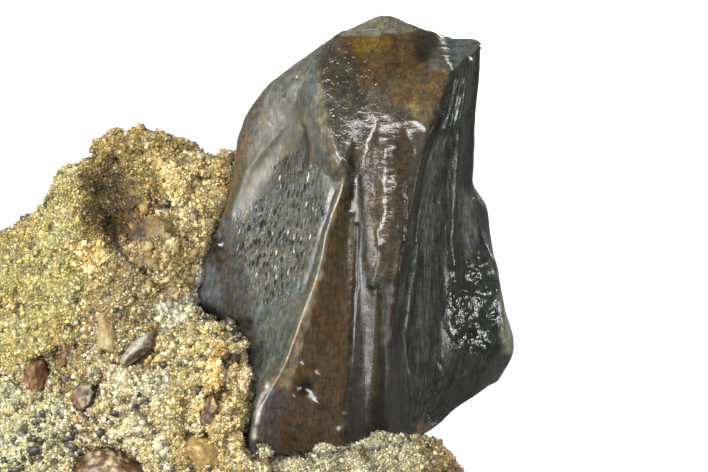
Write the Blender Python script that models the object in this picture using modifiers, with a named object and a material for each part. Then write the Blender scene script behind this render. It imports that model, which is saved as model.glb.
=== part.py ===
"""A shed tooth of a horned dinosaur, still held in a broken block of pebbly sandstone.

The tooth and the block are drawn in the face frame: x to the right, depth away from whoever
faces the tooth, up along the tooth. The face frame leans back by LEAN_DEG, and the block is
cut flat underneath, so that it stands on a level surface. Lengths in the tables are in mm.
"""

import math

import bmesh
import bpy
import numpy as np
from mathutils import Matrix, Vector
from mathutils.bvhtree import BVHTree

MM = 0.001
LEAN_DEG = 12.0
FACE_CENTRE = (9.0, -5.0, 19.0)  # where the face frame's zero lies above the foot of the block
TOOTH_GAP = 0.3  # left between the tooth and the stone that holds it
CLAST_GAP = 0.15  # the same round each pebble and chip
COLLECTION = "fossil_tooth_in_sandstone"

# The tooth: one rail for each ridge, hollow and edge that runs down the crown. A rail is a
# list of (x, up, depth), from the worn top to the root end, in order round the crown.
TOOTH_ROWS = (
    0.0, 0.018, 0.055, 0.1, 0.15, 0.2, 0.255, 0.31, 0.365, 0.42, 0.475, 0.53, 0.58, 0.62,
    0.65, 0.685, 0.73, 0.78, 0.84, 0.9, 0.95, 0.982, 1.0,
)
TOOTH_RAILS = {
    "left_margin": (
        (-1.9, 10.35, 4.6), (-3.5, 9.2, 5.0), (-4.85, 8.1, 5.3), (-5.55, 7.0, 5.5),
        (-6.0, 6.05, 5.6), (-6.3, 4.75, 5.8), (-6.45, 3.5, 5.9), (-6.9, 1.85, 6.0),
        (-7.55, 0.5, 6.0), (-8.0, -0.9, 6.0), (-8.2, -2.2, 5.9), (-7.9, -2.9, 5.5),
        (-7.0, -3.3, 5.1), (-6.4, -3.8, 4.7), (-6.15, -5.0, 4.2), (-6.3, -7.5, 3.4),
        (-6.2, -10.1, 2.9),
    ),
    "margin_ridge": (
        (-1.6, 10.5, 4.1), (-2.95, 9.4, 3.9), (-3.75, 8.1, 3.75), (-3.85, 7.15, 3.9),
        (-4.25, 6.0, 4.1), (-4.95, 5.0, 4.5), (-6.05, 3.0, 5.0), (-6.6, 1.5, 5.2),
        (-7.2, 0.0, 5.3), (-7.5, -1.5, 5.2), (-7.35, -2.4, 4.9), (-6.8, -3.1, 4.4),
        (-5.95, -4.5, 3.5), (-6.0, -7.5, 2.6), (-5.95, -10.1, 2.3),
    ),
    "panel_left": (
        (-1.35, 10.7, 3.8), (-2.6, 9.4, 3.4), (-3.2, 8.1, 3.3), (-3.25, 7.15, 3.4),
        (-3.55, 6.0, 3.7), (-3.95, 5.0, 4.0), (-4.7, 3.0, 4.2), (-5.2, 1.5, 4.1),
        (-5.8, 0.0, 4.0), (-6.2, -1.5, 3.8), (-6.0, -3.0, 3.4), (-5.55, -4.5, 2.6),
        (-5.65, -6.0, 2.1), (-5.75, -7.5, 1.8), (-5.8, -10.15, 1.8),
    ),
    "panel_right": (
        (-1.1, 10.85, 3.5), (-2.3, 9.4, 3.0), (-2.8, 8.1, 2.8), (-2.8, 7.15, 2.8),
        (-2.85, 6.0, 2.8), (-2.9, 5.0, 2.75), (-3.2, 3.0, 2.6), (-3.6, 1.5, 2.5),
        (-4.1, 0.0, 2.4), (-4.5, -1.5, 2.3), (-4.7, -3.0, 2.0), (-4.8, -4.5, 1.7),
        (-5.15, -6.0, 1.35), (-5.45, -7.5, 1.05), (-5.65, -10.15, 1.35),
    ),
    "shoulder": (
        (-0.85, 10.95, 3.3), (-1.95, 9.4, 2.5), (-2.4, 8.1, 2.25), (-2.35, 7.15, 2.0),
        (-2.15, 6.0, 1.6), (-1.95, 5.0, 1.35), (-1.75, 3.0, 1.0), (-2.1, 1.5, 0.9),
        (-2.6, 0.0, 0.9), (-3.0, -1.5, 0.9), (-3.5, -3.0, 0.9), (-3.95, -4.5, 0.8),
        (-4.4, -6.0, 0.6), (-5.05, -7.5, 0.35), (-5.45, -9.0, 0.45), (-5.5, -10.15, 0.9),
    ),
    "left_ridge": (
        (-0.5, 11.0, 3.2), (-1.45, 9.5, 2.2), (-1.7, 8.1, 1.8), (-1.45, 7.15, 1.5),
        (-1.15, 6.0, 1.1), (-0.9, 5.0, 0.8), (-0.85, 3.4, 0.4), (-1.1, 2.5, 0.3),
        (-1.45, 1.5, 0.2), (-1.85, 0.0, 0.0), (-2.2, -1.5, -0.1), (-2.75, -3.0, -0.2),
        (-3.35, -4.5, -0.3), (-3.9, -6.0, -0.35), (-4.75, -7.5, -0.3), (-5.15, -9.0, -0.1),
        (-5.3, -10.2, 0.5),
    ),
    "front_left": (
        (0.1, 11.05, 3.1), (-0.4, 9.5, 2.1), (-0.5, 7.5, 1.2), (-0.45, 5.5, 0.8),
        (-0.4, 4.25, 0.65), (-0.45, 3.0, 0.5), (-0.8, 1.75, 0.4), (-1.1, 0.25, 0.25),
        (-1.4, -1.25, 0.1), (-1.9, -2.75, 0.0), (-2.4, -4.25, -0.1), (-3.0, -5.6, -0.15),
        (-3.55, -6.9, -0.15), (-3.9, -8.0, -0.05), (-4.1, -9.0, 0.15), (-4.3, -10.25, 0.6),
    ),
    "groove": (
        (0.6, 11.05, 3.1), (0.3, 9.5, 2.0), (0.2, 7.5, 0.95), (0.1, 5.5, 0.55),
        (0.0, 3.5, 0.5), (-0.15, 1.25, 0.5), (-0.2, -1.35, 0.45), (-0.35, -3.65, 0.45),
        (-0.45, -5.6, 0.5), (-0.65, -7.1, 0.55), (-0.8, -8.1, 0.65), (-0.85, -9.95, 0.9),
    ),
    "swell_left": (
        (1.5, 11.1, 3.0), (1.4, 9.5, 1.5), (1.4, 8.0, 0.6), (1.3, 6.5, -0.1),
        (1.2, 5.0, -0.5), (1.2, 3.5, -0.6), (1.2, 2.0, -0.6), (1.0, 0.5, -0.5),
        (0.85, -1.0, -0.3), (0.75, -2.5, -0.1), (0.65, -4.5, 0.1), (0.55, -6.5, 0.25),
        (0.45, -8.5, 0.5), (0.4, -9.75, 0.8),
    ),
    "swell_right": (
        (2.6, 11.1, 3.0), (2.6, 9.5, 1.4), (2.55, 8.0, 0.5), (2.35, 6.5, -0.15),
        (2.2, 5.0, -0.45), (2.15, 3.5, -0.5), (2.05, 2.0, -0.45), (1.75, 0.5, -0.35),
        (1.5, -1.0, -0.2), (1.3, -2.5, 0.05), (1.2, -4.5, 0.25), (1.1, -6.5, 0.4),
        (1.0, -8.5, 0.65), (1.0, -9.65, 0.9),
    ),
    "right_edge": (
        (3.7, 10.95, 3.0), (4.0, 10.0, 1.9), (4.4, 9.2, 1.3), (4.5, 8.7, 1.0),
        (4.2, 7.7, 0.5), (3.6, 6.05, 0.1), (3.15, 4.9, -0.1), (2.8, 3.55, -0.15),
        (2.6, 2.4, -0.1), (2.4, 1.25, 0.0), (2.2, 0.0, 0.05), (1.95, -1.15, 0.1),
        (1.75, -3.1, 0.35), (1.6, -4.5, 0.5), (1.55, -7.5, 0.8), (1.6, -9.55, 1.1),
    ),
    "right_hollow": (
        (4.3, 10.65, 3.2), (4.7, 9.5, 2.0), (4.85, 8.9, 1.5), (4.8, 8.25, 1.6), (4.4, 6.75, 1.3),
        (3.9, 5.5, 1.2), (3.5, 4.0, 1.15), (3.2, 2.5, 1.25), (3.0, 1.0, 1.3),
        (2.8, -0.5, 1.35), (2.6, -2.5, 1.4), (2.5, -4.5, 1.4), (2.55, -6.5, 1.5),
        (2.65, -9.35, 1.9),
    ),
    "right_ridge": (
        (5.15, 10.6, 3.5), (5.3, 9.8, 2.5), (5.3, 9.4, 2.0), (5.25, 8.25, 1.85), (4.95, 6.75, 1.5),
        (4.65, 5.5, 1.4), (4.35, 4.0, 1.5), (4.25, 2.5, 1.6), (4.15, 1.0, 1.65),
        (4.1, -0.5, 1.7), (4.05, -2.5, 1.75), (4.0, -4.5, 1.8), (3.9, -6.5, 1.95),
        (3.75, -8.85, 2.5),
    ),
    "rim_hollow": (
        (5.7, 10.6, 3.7), (5.75, 10.0, 2.95), (5.7, 9.55, 2.7), (5.55, 8.25, 2.7),
        (5.35, 6.5, 2.5),
        (5.2, 4.5, 2.5), (5.1, 2.5, 2.6), (5.15, 0.5, 2.8), (5.35, -1.5, 3.0),
        (5.5, -3.5, 3.1), (5.5, -5.0, 3.2), (5.3, -6.5, 3.5), (4.9, -7.85, 3.9),
    ),
    "right_rim": (
        (6.1, 10.55, 4.0), (6.05, 10.2, 3.5), (6.0, 9.0, 3.5), (5.9, 7.9, 3.5), (5.75, 6.05, 3.5),
        (5.7, 4.45, 3.6), (5.65, 3.25, 3.7), (5.75, 2.25, 3.8), (5.95, 1.1, 4.0),
        (6.35, 0.05, 4.1), (6.7, -0.65, 4.2), (6.9, -1.65, 4.3), (7.1, -2.8, 4.4),
        (7.25, -4.8, 4.6), (7.0, -6.0, 4.8), (6.45, -6.85, 5.2),
    ),
    "right_flank": (
        (5.8, 10.4, 5.0), (5.6, 7.5, 6.0), (5.5, 4.5, 6.2), (5.7, 3.2, 6.0),
        (6.15, 2.75, 6.1), (6.45, 1.8, 6.3), (6.6, 0.65, 6.4), (6.7, -0.45, 6.5),
        (7.05, -2.3, 6.6), (7.3, -3.3, 6.7), (7.6, -3.9, 6.8), (7.75, -4.5, 6.8),
        (7.65, -5.1, 6.8), (7.4, -5.7, 6.8), (7.0, -6.35, 6.7),
    ),
    "back_right": (
        (4.5, 10.7, 5.6), (4.5, 7.5, 8.0), (4.6, 4.5, 8.6), (5.1, 1.5, 8.8),
        (5.5, -1.5, 8.9), (5.75, -4.0, 8.9), (5.5, -5.75, 8.6),
    ),
    "back_hollow_right": (
        (2.45, 11.4, 5.5), (2.25, 9.5, 7.4), (2.25, 6.5, 9.0), (2.5, 2.5, 9.7),
        (2.75, -1.5, 9.9), (3.0, -5.2, 9.4),
    ),
    "back_keel": (
        (1.45, 11.8, 5.2), (1.25, 9.5, 7.7), (0.75, 6.5, 9.7), (0.5, 2.5, 10.7),
        (0.5, -1.5, 10.9), (0.6, -5.0, 10.3),
    ),
    "back_hollow_left": (
        (0.3, 11.5, 5.0), (-0.5, 9.5, 7.1), (-1.25, 6.5, 8.6), (-1.75, 2.5, 9.6),
        (-2.0, -1.5, 9.8), (-1.9, -5.0, 9.2),
    ),
    "back_left": (
        (-0.75, 11.0, 4.7), (-2.5, 8.5, 7.0), (-3.75, 6.0, 8.2), (-4.5, 2.5, 9.0),
        (-4.9, -1.5, 9.0), (-4.5, -5.2, 8.2),
    ),
    "left_flank": (
        (-1.5, 10.6, 4.8), (-4.25, 8.0, 6.6), (-5.4, 6.0, 7.2), (-6.0, 2.5, 7.8),
        (-6.6, -1.5, 7.6), (-6.0, -6.0, 6.2),
    ),
}
CRISP_RAILS = {  # how sharp each crisp rail stays, and the rows between which it is crisp
    "left_ridge": (0.7, 7, 22), "right_edge": (0.8, 2, 17), "right_rim": (0.8, 0, 19),
    "margin_ridge": (0.3, 2, 12),
}
WORN_TOP = ((0.15, 0.0), (0.6, -0.1))  # (share of the way in, mm up) of each ring of the cap
ROOT_HOLLOW = ((0.12, 0.05), (0.5, 1.3))  # the same for the root end, which is resorbed

# The block: one rail for each shelf, brow and foot that runs across it, from its left end to
# its right end, in order round the block from the foot in front.
STONE_STATIONS = (
    -24.2, -23.2, -21.6, -19.8, -17.8, -16.0, -14.6, -13.4, -12.2, -11.0, -9.8, -8.6, -7.4,
    -6.2, -5.4, -4.9, -3.8, -2.2, -0.5, 1.2, 2.4, 3.4, 4.4, 5.3, 6.0,
)
STONE_RAILS = {
    "foot_front": (
        (-24.2, -22.0, 9.0), (-22.5, -22.0, 7.0), (-20.0, -22.0, 5.2), (-15.5, -22.0, 2.8),
        (-10.0, -22.0, 1.4), (-5.4, -22.0, 0.6), (-0.5, -22.0, 0.0), (3.3, -22.0, 0.8),
        (5.0, -22.0, 2.4), (6.0, -22.0, 5.0),
    ),
    "low_front": (
        (-24.2, -15.5, 8.2), (-22.5, -15.5, 6.0), (-20.0, -15.5, 4.2), (-15.5, -15.5, 1.8),
        (-10.0, -15.5, 0.4), (-5.4, -15.5, -0.4), (-3.0, -15.5, -1.2), (-0.5, -15.5, -1.5),
        (1.8, -15.5, -1.3), (3.3, -15.5, -0.8), (4.4, -15.5, 0.4), (5.3, -15.5, 1.9),
        (6.0, -15.5, 4.0),
    ),
    "middle_front": (
        (-24.2, -11.5, 8.0), (-22.5, -11.0, 6.1), (-20.0, -11.0, 4.4), (-17.5, -11.0, 2.9),
        (-14.5, -10.8, 1.5), (-11.5, -9.8, 0.8), (-8.7, -8.5, 0.3), (-6.1, -8.0, 0.2),
        (-5.4, -8.5, 0.8), (-4.9, -11.4, -0.9), (-3.0, -11.8, -1.3), (-0.5, -11.8, -1.5),
        (1.8, -11.6, -1.2), (3.3, -11.4, -0.6), (4.4, -12.0, 0.6), (5.3, -13.0, 2.3),
        (6.0, -14.5, 4.2),
    ),
    "shelf_edge": (
        (-24.2, -9.0, 8.5), (-22.5, -8.0, 6.7), (-20.0, -7.5, 4.6), (-17.5, -7.5, 2.9),
        (-14.5, -7.2, 1.5), (-12.9, -6.0, 1.1), (-10.3, -4.4, 0.8), (-8.7, -3.8, 0.8),
        (-6.1, -4.1, 0.7), (-5.4, -4.9, 1.3), (-4.9, -9.7, -0.5), (-3.0, -10.0, -0.8),
        (-0.5, -9.95, -0.7), (1.8, -9.7, -0.3), (3.2, -9.6, 0.6), (4.4, -10.7, 1.6),
        (5.3, -12.0, 3.2), (6.0, -13.5, 4.8),
    ),
    "recess": (
        (-24.2, -7.5, 9.0), (-22.5, -5.9, 7.3), (-20.0, -4.5, 5.2), (-17.5, -4.0, 3.3),
        (-14.5, -3.6, 1.8), (-11.5, -3.0, 1.3), (-10.3, -2.9, 1.6), (-8.8, -2.6, 3.6),
        (-7.4, -3.3, 5.6), (-6.1, -3.6, 5.4), (-5.4, -4.1, 5.5), (-4.9, -7.4, 5.0),
        (-3.0, -7.8, 5.0), (-0.5, -8.0, 5.0), (1.8, -8.6, 5.0), (3.2, -9.7, 5.0),
        (4.4, -10.9, 5.0), (5.3, -12.1, 5.4), (6.0, -13.6, 6.0),
    ),
    "wall": (
        (-24.2, -6.5, 9.3), (-22.5, -4.4, 8.0), (-20.0, -2.5, 6.0), (-17.5, -1.5, 4.2),
        (-15.5, -1.0, 3.2), (-14.1, -0.6, 2.4), (-12.9, -0.3, 3.2), (-11.5, -0.6, 2.2),
        (-10.3, -0.3, 2.6), (-8.8, 0.0, 4.6), (-7.4, 0.0, 6.6), (-6.1, -0.5, 7.4),
        (-4.9, -2.2, 8.6), (-3.0, -4.5, 9.2), (-0.5, -5.7, 9.6), (1.8, -7.8, 9.4),
        (3.2, -9.9, 9.0), (4.4, -11.0, 8.2), (5.3, -12.2, 7.2), (6.0, -13.7, 7.0),
    ),
    "brow": (
        (-24.2, -5.5, 9.8), (-22.5, -2.9, 9.0), (-20.0, -0.6, 7.5), (-17.5, 0.9, 6.2),
        (-15.5, 2.2, 5.6), (-14.1, 3.1, 4.8), (-12.9, 2.9, 7.2), (-11.5, 2.5, 6.2),
        (-10.3, 3.3, 5.4), (-8.8, 2.8, 5.6), (-7.4, 2.8, 6.6), (-6.1, 2.0, 7.6),
        (-4.9, -0.6, 9.2), (-3.0, -2.6, 9.8), (-0.5, -4.8, 10.2), (1.8, -7.3, 10.0),
        (3.2, -9.9, 9.8), (4.4, -11.0, 9.4), (5.3, -12.2, 8.5), (6.0, -13.7, 7.9),
    ),
    "crest": (
        (-24.2, -5.2, 10.5), (-22.5, -2.5, 9.8), (-20.0, -0.4, 8.8), (-17.5, 1.3, 7.8),
        (-15.5, 3.1, 7.4), (-14.1, 4.5, 7.2), (-12.9, 5.4, 8.2), (-11.5, 6.3, 7.8),
        (-10.8, 6.3, 7.5), (-10.2, 5.8, 7.2), (-8.8, 5.0, 7.0), (-7.4, 5.0, 7.4),
        (-6.1, 4.2, 8.2), (-4.9, 2.0, 9.8), (-3.0, -0.4, 10.4), (-0.5, -3.4, 10.8),
        (1.8, -6.4, 10.8), (3.2, -9.8, 10.8), (4.4, -11.0, 10.4), (5.3, -12.3, 9.6),
        (6.0, -13.8, 8.6),
    ),
    "back_top": (
        (-24.2, -5.7, 11.5), (-22.5, -3.1, 12.0), (-20.0, -1.1, 11.8), (-17.5, 0.6, 11.4),
        (-15.5, 2.1, 11.0), (-12.9, 4.3, 11.6), (-11.5, 5.3, 11.4), (-8.8, 4.0, 11.4),
        (-6.1, 2.9, 12.2), (-3.0, -1.2, 13.6), (-0.5, -4.0, 13.8), (1.8, -7.0, 13.3),
        (3.2, -10.3, 12.8), (4.4, -11.4, 12.0), (5.3, -12.8, 10.9), (6.0, -14.2, 9.4),
    ),
    "back_middle": (
        (-24.2, -9.0, 12.3), (-22.5, -7.5, 14.0), (-20.0, -6.5, 15.0), (-15.5, -4.5, 15.8),
        (-11.5, -2.5, 16.2), (-7.4, -2.5, 16.4), (-3.0, -4.5, 16.6), (1.8, -9.0, 15.6),
        (4.4, -11.5, 14.0), (6.0, -14.0, 10.6),
    ),
    "back_low": (
        (-24.2, -14.0, 12.8), (-22.5, -13.5, 14.6), (-20.0, -13.0, 15.8), (-11.5, -12.5, 16.8),
        (-3.0, -13.0, 17.0), (1.8, -14.0, 16.0), (4.4, -15.0, 14.4), (6.0, -16.0, 10.8),
    ),
    "foot_back": (
        (-24.2, -22.0, 12.5), (-22.5, -22.0, 14.2), (-20.0, -22.0, 15.4), (-11.5, -22.0, 16.4),
        (-3.0, -22.0, 16.6), (1.8, -22.0, 15.6), (4.4, -22.0, 14.0), (6.0, -22.0, 10.6),
    ),
}
STONE_GRID = 0.5  # size of the block's faces before they are thinned out
STONE_SHARE = 0.085  # share of them that is kept
STONE_END = ((0.35, 0.4), (0.7, 0.7))  # (share of the way in, mm outwards) of each end's rings
FLOOR_SIDE, FLOOR_DEPTH = 80.0, 20.0  # the block of air that cuts the stone's foot flat

# Pebbles and chips that the stone holds: the place of each one's middle on the face (x, up),
# its size (across, tall, deep), the turn of its long side, and the share that stands proud.
CLASTS = {
    "buff_pebble": {"at": (-10.4, 0.72), "size": (2.5, 1.9, 1.6), "turn": 14, "proud": 0.28},
    "brown_pebble": {"at": (-12.7, -11.3), "size": (3.6, 2.4, 2.0), "turn": -4, "proud": 0.35},
    "tan_pebble": {"at": (-7.95, -10.2), "size": (1.6, 2.2, 1.3), "turn": 6, "proud": 0.3},
    "bone_splinter": {"at": (-10.95, -4.95), "size": (3.8, 0.85, 0.9), "turn": 40, "proud": 0.35},
    "bone_sliver": {"at": (-7.5, -8.1), "size": (2.6, 0.6, 0.7), "turn": 71, "proud": 0.35},
    "ironstone_chip_left": {"at": (-16.25, -6.2), "size": (1.9, 1.1, 0.9), "turn": 58, "proud": 0.2},
    "ironstone_chip_middle": {"at": (-13.75, -7.5), "size": (2.1, 1.1, 0.9), "turn": 66, "proud": 0.25},
    "ironstone_chip_upper": {"at": (-14.65, -5.25), "size": (1.8, 1.0, 0.9), "turn": 48, "proud": 0.2},
    "clay_flake": {"at": (-12.65, -4.35), "size": (2.3, 1.3, 0.9), "turn": 82, "proud": 0.25},
}


def material(name, colour, roughness):
    """A plain Principled BSDF."""
    made = bpy.data.materials.new(name)
    made.use_nodes = True
    shader = made.node_tree.nodes["Principled BSDF"]
    shader.inputs["Base Color"].default_value = (*colour, 1.0)
    shader.inputs["Roughness"].default_value = roughness
    shader.inputs["Metallic"].default_value = 0.0
    made.diffuse_color = (*colour, 1.0)
    return made


def points_along(rail, lead, fractions):
    """Points on a smooth curve through the rail's own, at fractions of its lead coordinate."""
    knots = np.array(rail)
    place = (knots[:, lead] - knots[0, lead]) / (knots[-1, lead] - knots[0, lead])
    slope = np.gradient(knots, place, axis=0)
    at = np.asarray(fractions)
    after = np.clip(np.searchsorted(place, at), 1, len(place) - 1)
    before = after - 1
    span = place[after] - place[before]
    t = ((at - place[before]) / span)[:, None]
    start, end = knots[before], knots[after]
    pull_start, pull_end = slope[before] * span[:, None], slope[after] * span[:, None]
    return (
        (2 * t**3 - 3 * t**2 + 1) * start + (t**3 - 2 * t**2 + t) * pull_start
        + (3 * t**2 - 2 * t**3) * end + (t**3 - t**2) * pull_end
    )


def cap_rings(ring, steps, outwards):
    """The rings of a cap, each a share of the way in to the middle and moved outwards."""
    middle = ring.mean(axis=0)
    return [ring + (middle - ring) * share + outwards * lift for share, lift in steps]


def softened(rings, crease):
    """Where Subdivision Surface takes the points of a cage of rings."""
    around = (np.roll(rings, 1, axis=1) + 4 * rings + np.roll(rings, -1, axis=1)) / 6
    around += (rings - around) * crease[..., None]
    padded = np.concatenate((rings[:1], around, rings[-1:]))
    return (padded[:-2] + 4 * padded[1:-1] + padded[2:]) / 6


def lofted(name, rails, first_cap, last_cap, crease):
    """A closed cage: rings from one end of the rails to the other, with a cap at each end.

    The cage is drawn a little proud of the rails, so that its rounded surface lies on them.
    """
    rings = np.array([*reversed(first_cap), *np.stack(rails, axis=1), *last_cap])
    wanted = rings.copy()
    for _ in range(3):
        rings += wanted - softened(rings, crease)
    bm = bmesh.new()
    rows = [[bm.verts.new(Vector((x, depth, up)) * MM) for x, up, depth in ring] for ring in rings]
    for one, other in zip(rows, rows[1:]):
        for i in range(len(one)):
            j = (i + 1) % len(one)
            bm.faces.new((one[i], one[j], other[j], other[i]))
    for row in (rows[0], rows[-1]):
        middle = bm.verts.new(sum((v.co for v in row), Vector()) / len(row))
        for i in range(len(row)):
            bm.faces.new((row[i], row[(i + 1) % len(row)], middle))
    bmesh.ops.recalc_face_normals(bm, faces=bm.faces)
    mesh = bpy.data.meshes.new(name)
    bm.to_mesh(mesh)
    bm.free()
    return mesh


def rounded(obj, levels):
    """Subdivision Surface on the object's coarse cage."""
    subsurf = obj.modifiers.new("rounded", "SUBSURF")
    subsurf.levels = subsurf.render_levels = levels


def crispness():
    """How sharp the crown is at each place of its cage, caps included."""
    sharp = np.zeros((len(WORN_TOP) + len(TOOTH_ROWS) + len(ROOT_HOLLOW), len(TOOTH_RAILS)))
    for side, name in enumerate(TOOTH_RAILS):
        if name in CRISP_RAILS:
            value, first, last = CRISP_RAILS[name]
            sharp[len(WORN_TOP) + first : len(WORN_TOP) + last + 1, side] = value
    return sharp


def tooth_mesh(name):
    """The crown's cage, with a crease along each crisp rail."""
    rails = [points_along(rail, 1, TOOTH_ROWS) for rail in TOOTH_RAILS.values()]
    top, bottom = (np.array([rail[end] for rail in rails]) for end in (0, -1))
    up = np.array((0.0, 1.0, 0.0))
    sharp = crispness()
    mesh = lofted(name, rails, cap_rings(top, WORN_TOP, up), cap_rings(bottom, ROOT_HOLLOW, up), sharp)
    crease = mesh.attributes.new("crease_edge", "FLOAT", "EDGE")
    for edge in mesh.edges:
        if max(edge.vertices) < sharp.size:
            (row, side), (other_row, other_side) = (divmod(v, len(rails)) for v in edge.vertices)
            if side == other_side:
                crease.data[edge.index].value = min(sharp[row, side], sharp[other_row, side])
    return mesh


def stone_mesh(name):
    """The block's cage, longer at its foot than the block will be."""
    first, last = STONE_STATIONS[0], STONE_STATIONS[-1]
    fractions = [(x - first) / (last - first) for x in STONE_STATIONS]
    rails = [points_along(rail, 0, fractions) for rail in STONE_RAILS.values()]
    left, right = (np.array([rail[end] for rail in rails]) for end in (0, -1))
    across = np.array((1.0, 0.0, 0.0))
    caps = cap_rings(left, STONE_END, -across), cap_rings(right, STONE_END, across)
    soft = np.zeros((len(STONE_STATIONS) + 2 * len(STONE_END), len(rails)))
    return lofted(name, rails, *caps, soft)


def in_face_frame(obj, specimen, collection):
    """Puts an object under the specimen's empty, which holds the face frame."""
    collection.objects.link(obj)
    obj.parent = specimen
    return obj


def evened(obj, grid):
    """Even faces of that size all over, so that what is done next finds faces everywhere."""
    even = obj.modifiers.new("evened", "REMESH")
    even.mode = "VOXEL"
    even.voxel_size = grid * MM


def thinned(obj, share):
    """Keeps that share of the faces, where the surface turns most."""
    thin = obj.modifiers.new("thinned", "DECIMATE")
    thin.ratio = share


def weathered(obj, grain, depth, name):
    """Uneven surface from a soft cloud pattern of that grain size, up to about that deep."""
    pattern = bpy.data.textures.new(name, "CLOUDS")
    pattern.noise_scale = grain * MM
    pattern.noise_depth = 2
    rough = obj.modifiers.new(name, "DISPLACE")
    rough.texture = pattern
    rough.texture_coords = "LOCAL"
    rough.strength = depth * MM
    rough.mid_level = 0.5


def room_for(obj, gap, share, cutters, specimen):
    """A cutter a little larger than the object all round, for the hollow that holds it."""
    graph = bpy.context.evaluated_depsgraph_get()
    mesh = bpy.data.meshes.new_from_object(obj.evaluated_get(graph))
    cutter = in_face_frame(bpy.data.objects.new("room_for_" + obj.name, mesh), specimen, cutters)
    cutter.matrix_basis = obj.matrix_basis
    cutter.hide_render = True
    cutter.display_type = "WIRE"
    thinned(cutter, share)
    grown = cutter.modifiers.new("gap", "DISPLACE")
    grown.direction = "NORMAL"
    grown.strength = gap * MM
    grown.mid_level = 0.0


def cut_away(obj, cutters):
    """Takes the cutters' shapes out of the object."""
    cut = obj.modifiers.new("rooms_and_foot", "BOOLEAN")
    cut.operation = "DIFFERENCE"
    cut.solver = "EXACT"
    cut.operand_type = "COLLECTION"
    cut.collection = cutters


def clast_mesh(name, size, seed):
    """A worn, slightly angular stone: a ball with a few flats struck off, at its real size."""
    rng = np.random.default_rng(seed)
    bm = bmesh.new()
    bmesh.ops.create_icosphere(bm, subdivisions=2, radius=0.5)
    for _ in range(7):
        facing = Vector(rng.normal(size=3)).normalized()
        bmesh.ops.bisect_plane(
            bm, geom=bm.verts[:] + bm.edges[:] + bm.faces[:], plane_co=facing * rng.uniform(0.36, 0.46),
            plane_no=facing, clear_outer=True, dist=1e-6,
        )
        bmesh.ops.holes_fill(bm, edges=[e for e in bm.edges if e.is_boundary])
    bmesh.ops.triangulate(bm, faces=bm.faces[:])
    bmesh.ops.remove_doubles(bm, verts=bm.verts[:], dist=0.03)
    bmesh.ops.recalc_face_normals(bm, faces=bm.faces[:])
    across, tall, deep = (side * MM for side in size)
    bmesh.ops.scale(bm, vec=(across, deep, tall), verts=bm.verts[:])
    mesh = bpy.data.meshes.new(name)
    bm.to_mesh(mesh)
    bm.free()
    return mesh


def surface_of(obj):
    """The evaluated surface, in the face frame."""
    graph = bpy.context.evaluated_depsgraph_get()
    mesh = obj.evaluated_get(graph).to_mesh()
    return BVHTree.FromPolygons([v.co for v in mesh.vertices], [p.vertices for p in mesh.polygons])


def depth_at(surface, x, up):
    """How deep the surface lies where someone facing it sees (x, up)."""
    hit, _, _, _ = surface.ray_cast(Vector((x, -40.0, up)) * MM, Vector((0, 1, 0)))
    return hit.y / MM


def main():
    for obj in list(bpy.data.objects):
        bpy.data.objects.remove(obj)
    pieces = bpy.data.collections.new(COLLECTION)
    cutters = bpy.data.collections.new("cutters")
    for collection in (pieces, cutters):
        bpy.context.scene.collection.children.link(collection)

    specimen = bpy.data.objects.new("specimen", None)
    specimen.location = Vector(FACE_CENTRE) * MM
    specimen.rotation_euler.x = -math.radians(LEAN_DEG)
    pieces.objects.link(specimen)

    tooth = in_face_frame(bpy.data.objects.new("tooth", tooth_mesh("tooth")), specimen, pieces)
    tooth.data.materials.append(material("fossil_enamel", (0.09, 0.075, 0.065), 0.3))
    rounded(tooth, 1)
    tooth.data.shade_smooth()

    stone = in_face_frame(bpy.data.objects.new("sandstone_matrix", stone_mesh("sandstone")), specimen, pieces)
    stone.data.materials.append(material("sandstone", (0.5, 0.4, 0.2), 0.9))
    rounded(stone, 2)
    evened(stone, STONE_GRID)
    weathered(stone, grain=3.2, depth=1.3, name="lumps")
    weathered(stone, grain=1.1, depth=0.7, name="crumbs")
    thinned(stone, STONE_SHARE)
    bpy.context.view_layer.update()
    surface = surface_of(stone)

    buff, brown, bone = (
        material("buff_chert", (0.55, 0.4, 0.2), 0.6),
        material("ironstone", (0.22, 0.11, 0.06), 0.6),
        material("fossil_bone", (0.2, 0.13, 0.11), 0.5),
    )
    finish = {
        "buff_pebble": buff, "tan_pebble": buff, "clay_flake": buff,
        "bone_splinter": bone, "bone_sliver": bone,
    }
    clasts = []
    for seed, (name, clast) in enumerate(CLASTS.items()):
        made = in_face_frame(
            bpy.data.objects.new(name, clast_mesh(name, clast["size"], seed)), specimen, pieces
        )
        x, up = clast["at"]
        deep = clast["size"][2]
        depth = depth_at(surface, x, up) + deep * (0.5 - clast["proud"])
        made.location = Vector((x, depth, up)) * MM
        made.rotation_euler.y = -math.radians(clast["turn"])
        made.data.materials.append(finish.get(name, brown))
        clasts.append(made)

    bpy.context.view_layer.update()
    room_for(tooth, TOOTH_GAP, 0.4, cutters, specimen)
    for clast in clasts:
        room_for(clast, CLAST_GAP, 1.0, cutters, specimen)
    bpy.ops.mesh.primitive_cube_add(size=1.0, location=(0, 0, -FLOOR_DEPTH * MM / 2))
    below = bpy.context.object
    below.name = "below_the_foot"
    below.scale = Vector((FLOOR_SIDE, FLOOR_SIDE, FLOOR_DEPTH)) * MM
    for collection in list(below.users_collection):
        collection.objects.unlink(below)
    cutters.objects.link(below)
    below.hide_render = True
    below.display_type = "WIRE"
    cut_away(stone, cutters)


main()
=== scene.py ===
# %% [markdown]
# A shed tooth of a horned dinosaur stands in a niche of the sandstone that it was buried in.
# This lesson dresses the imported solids: first the crown, then the pebbles, then the stone and
# its sand, grain by grain. Each cell makes one thing and prints what it made.

import math

import bmesh
import bpy
import numpy as np
from mathutils import Matrix, Vector
from mathutils.bvhtree import BVHTree


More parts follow.
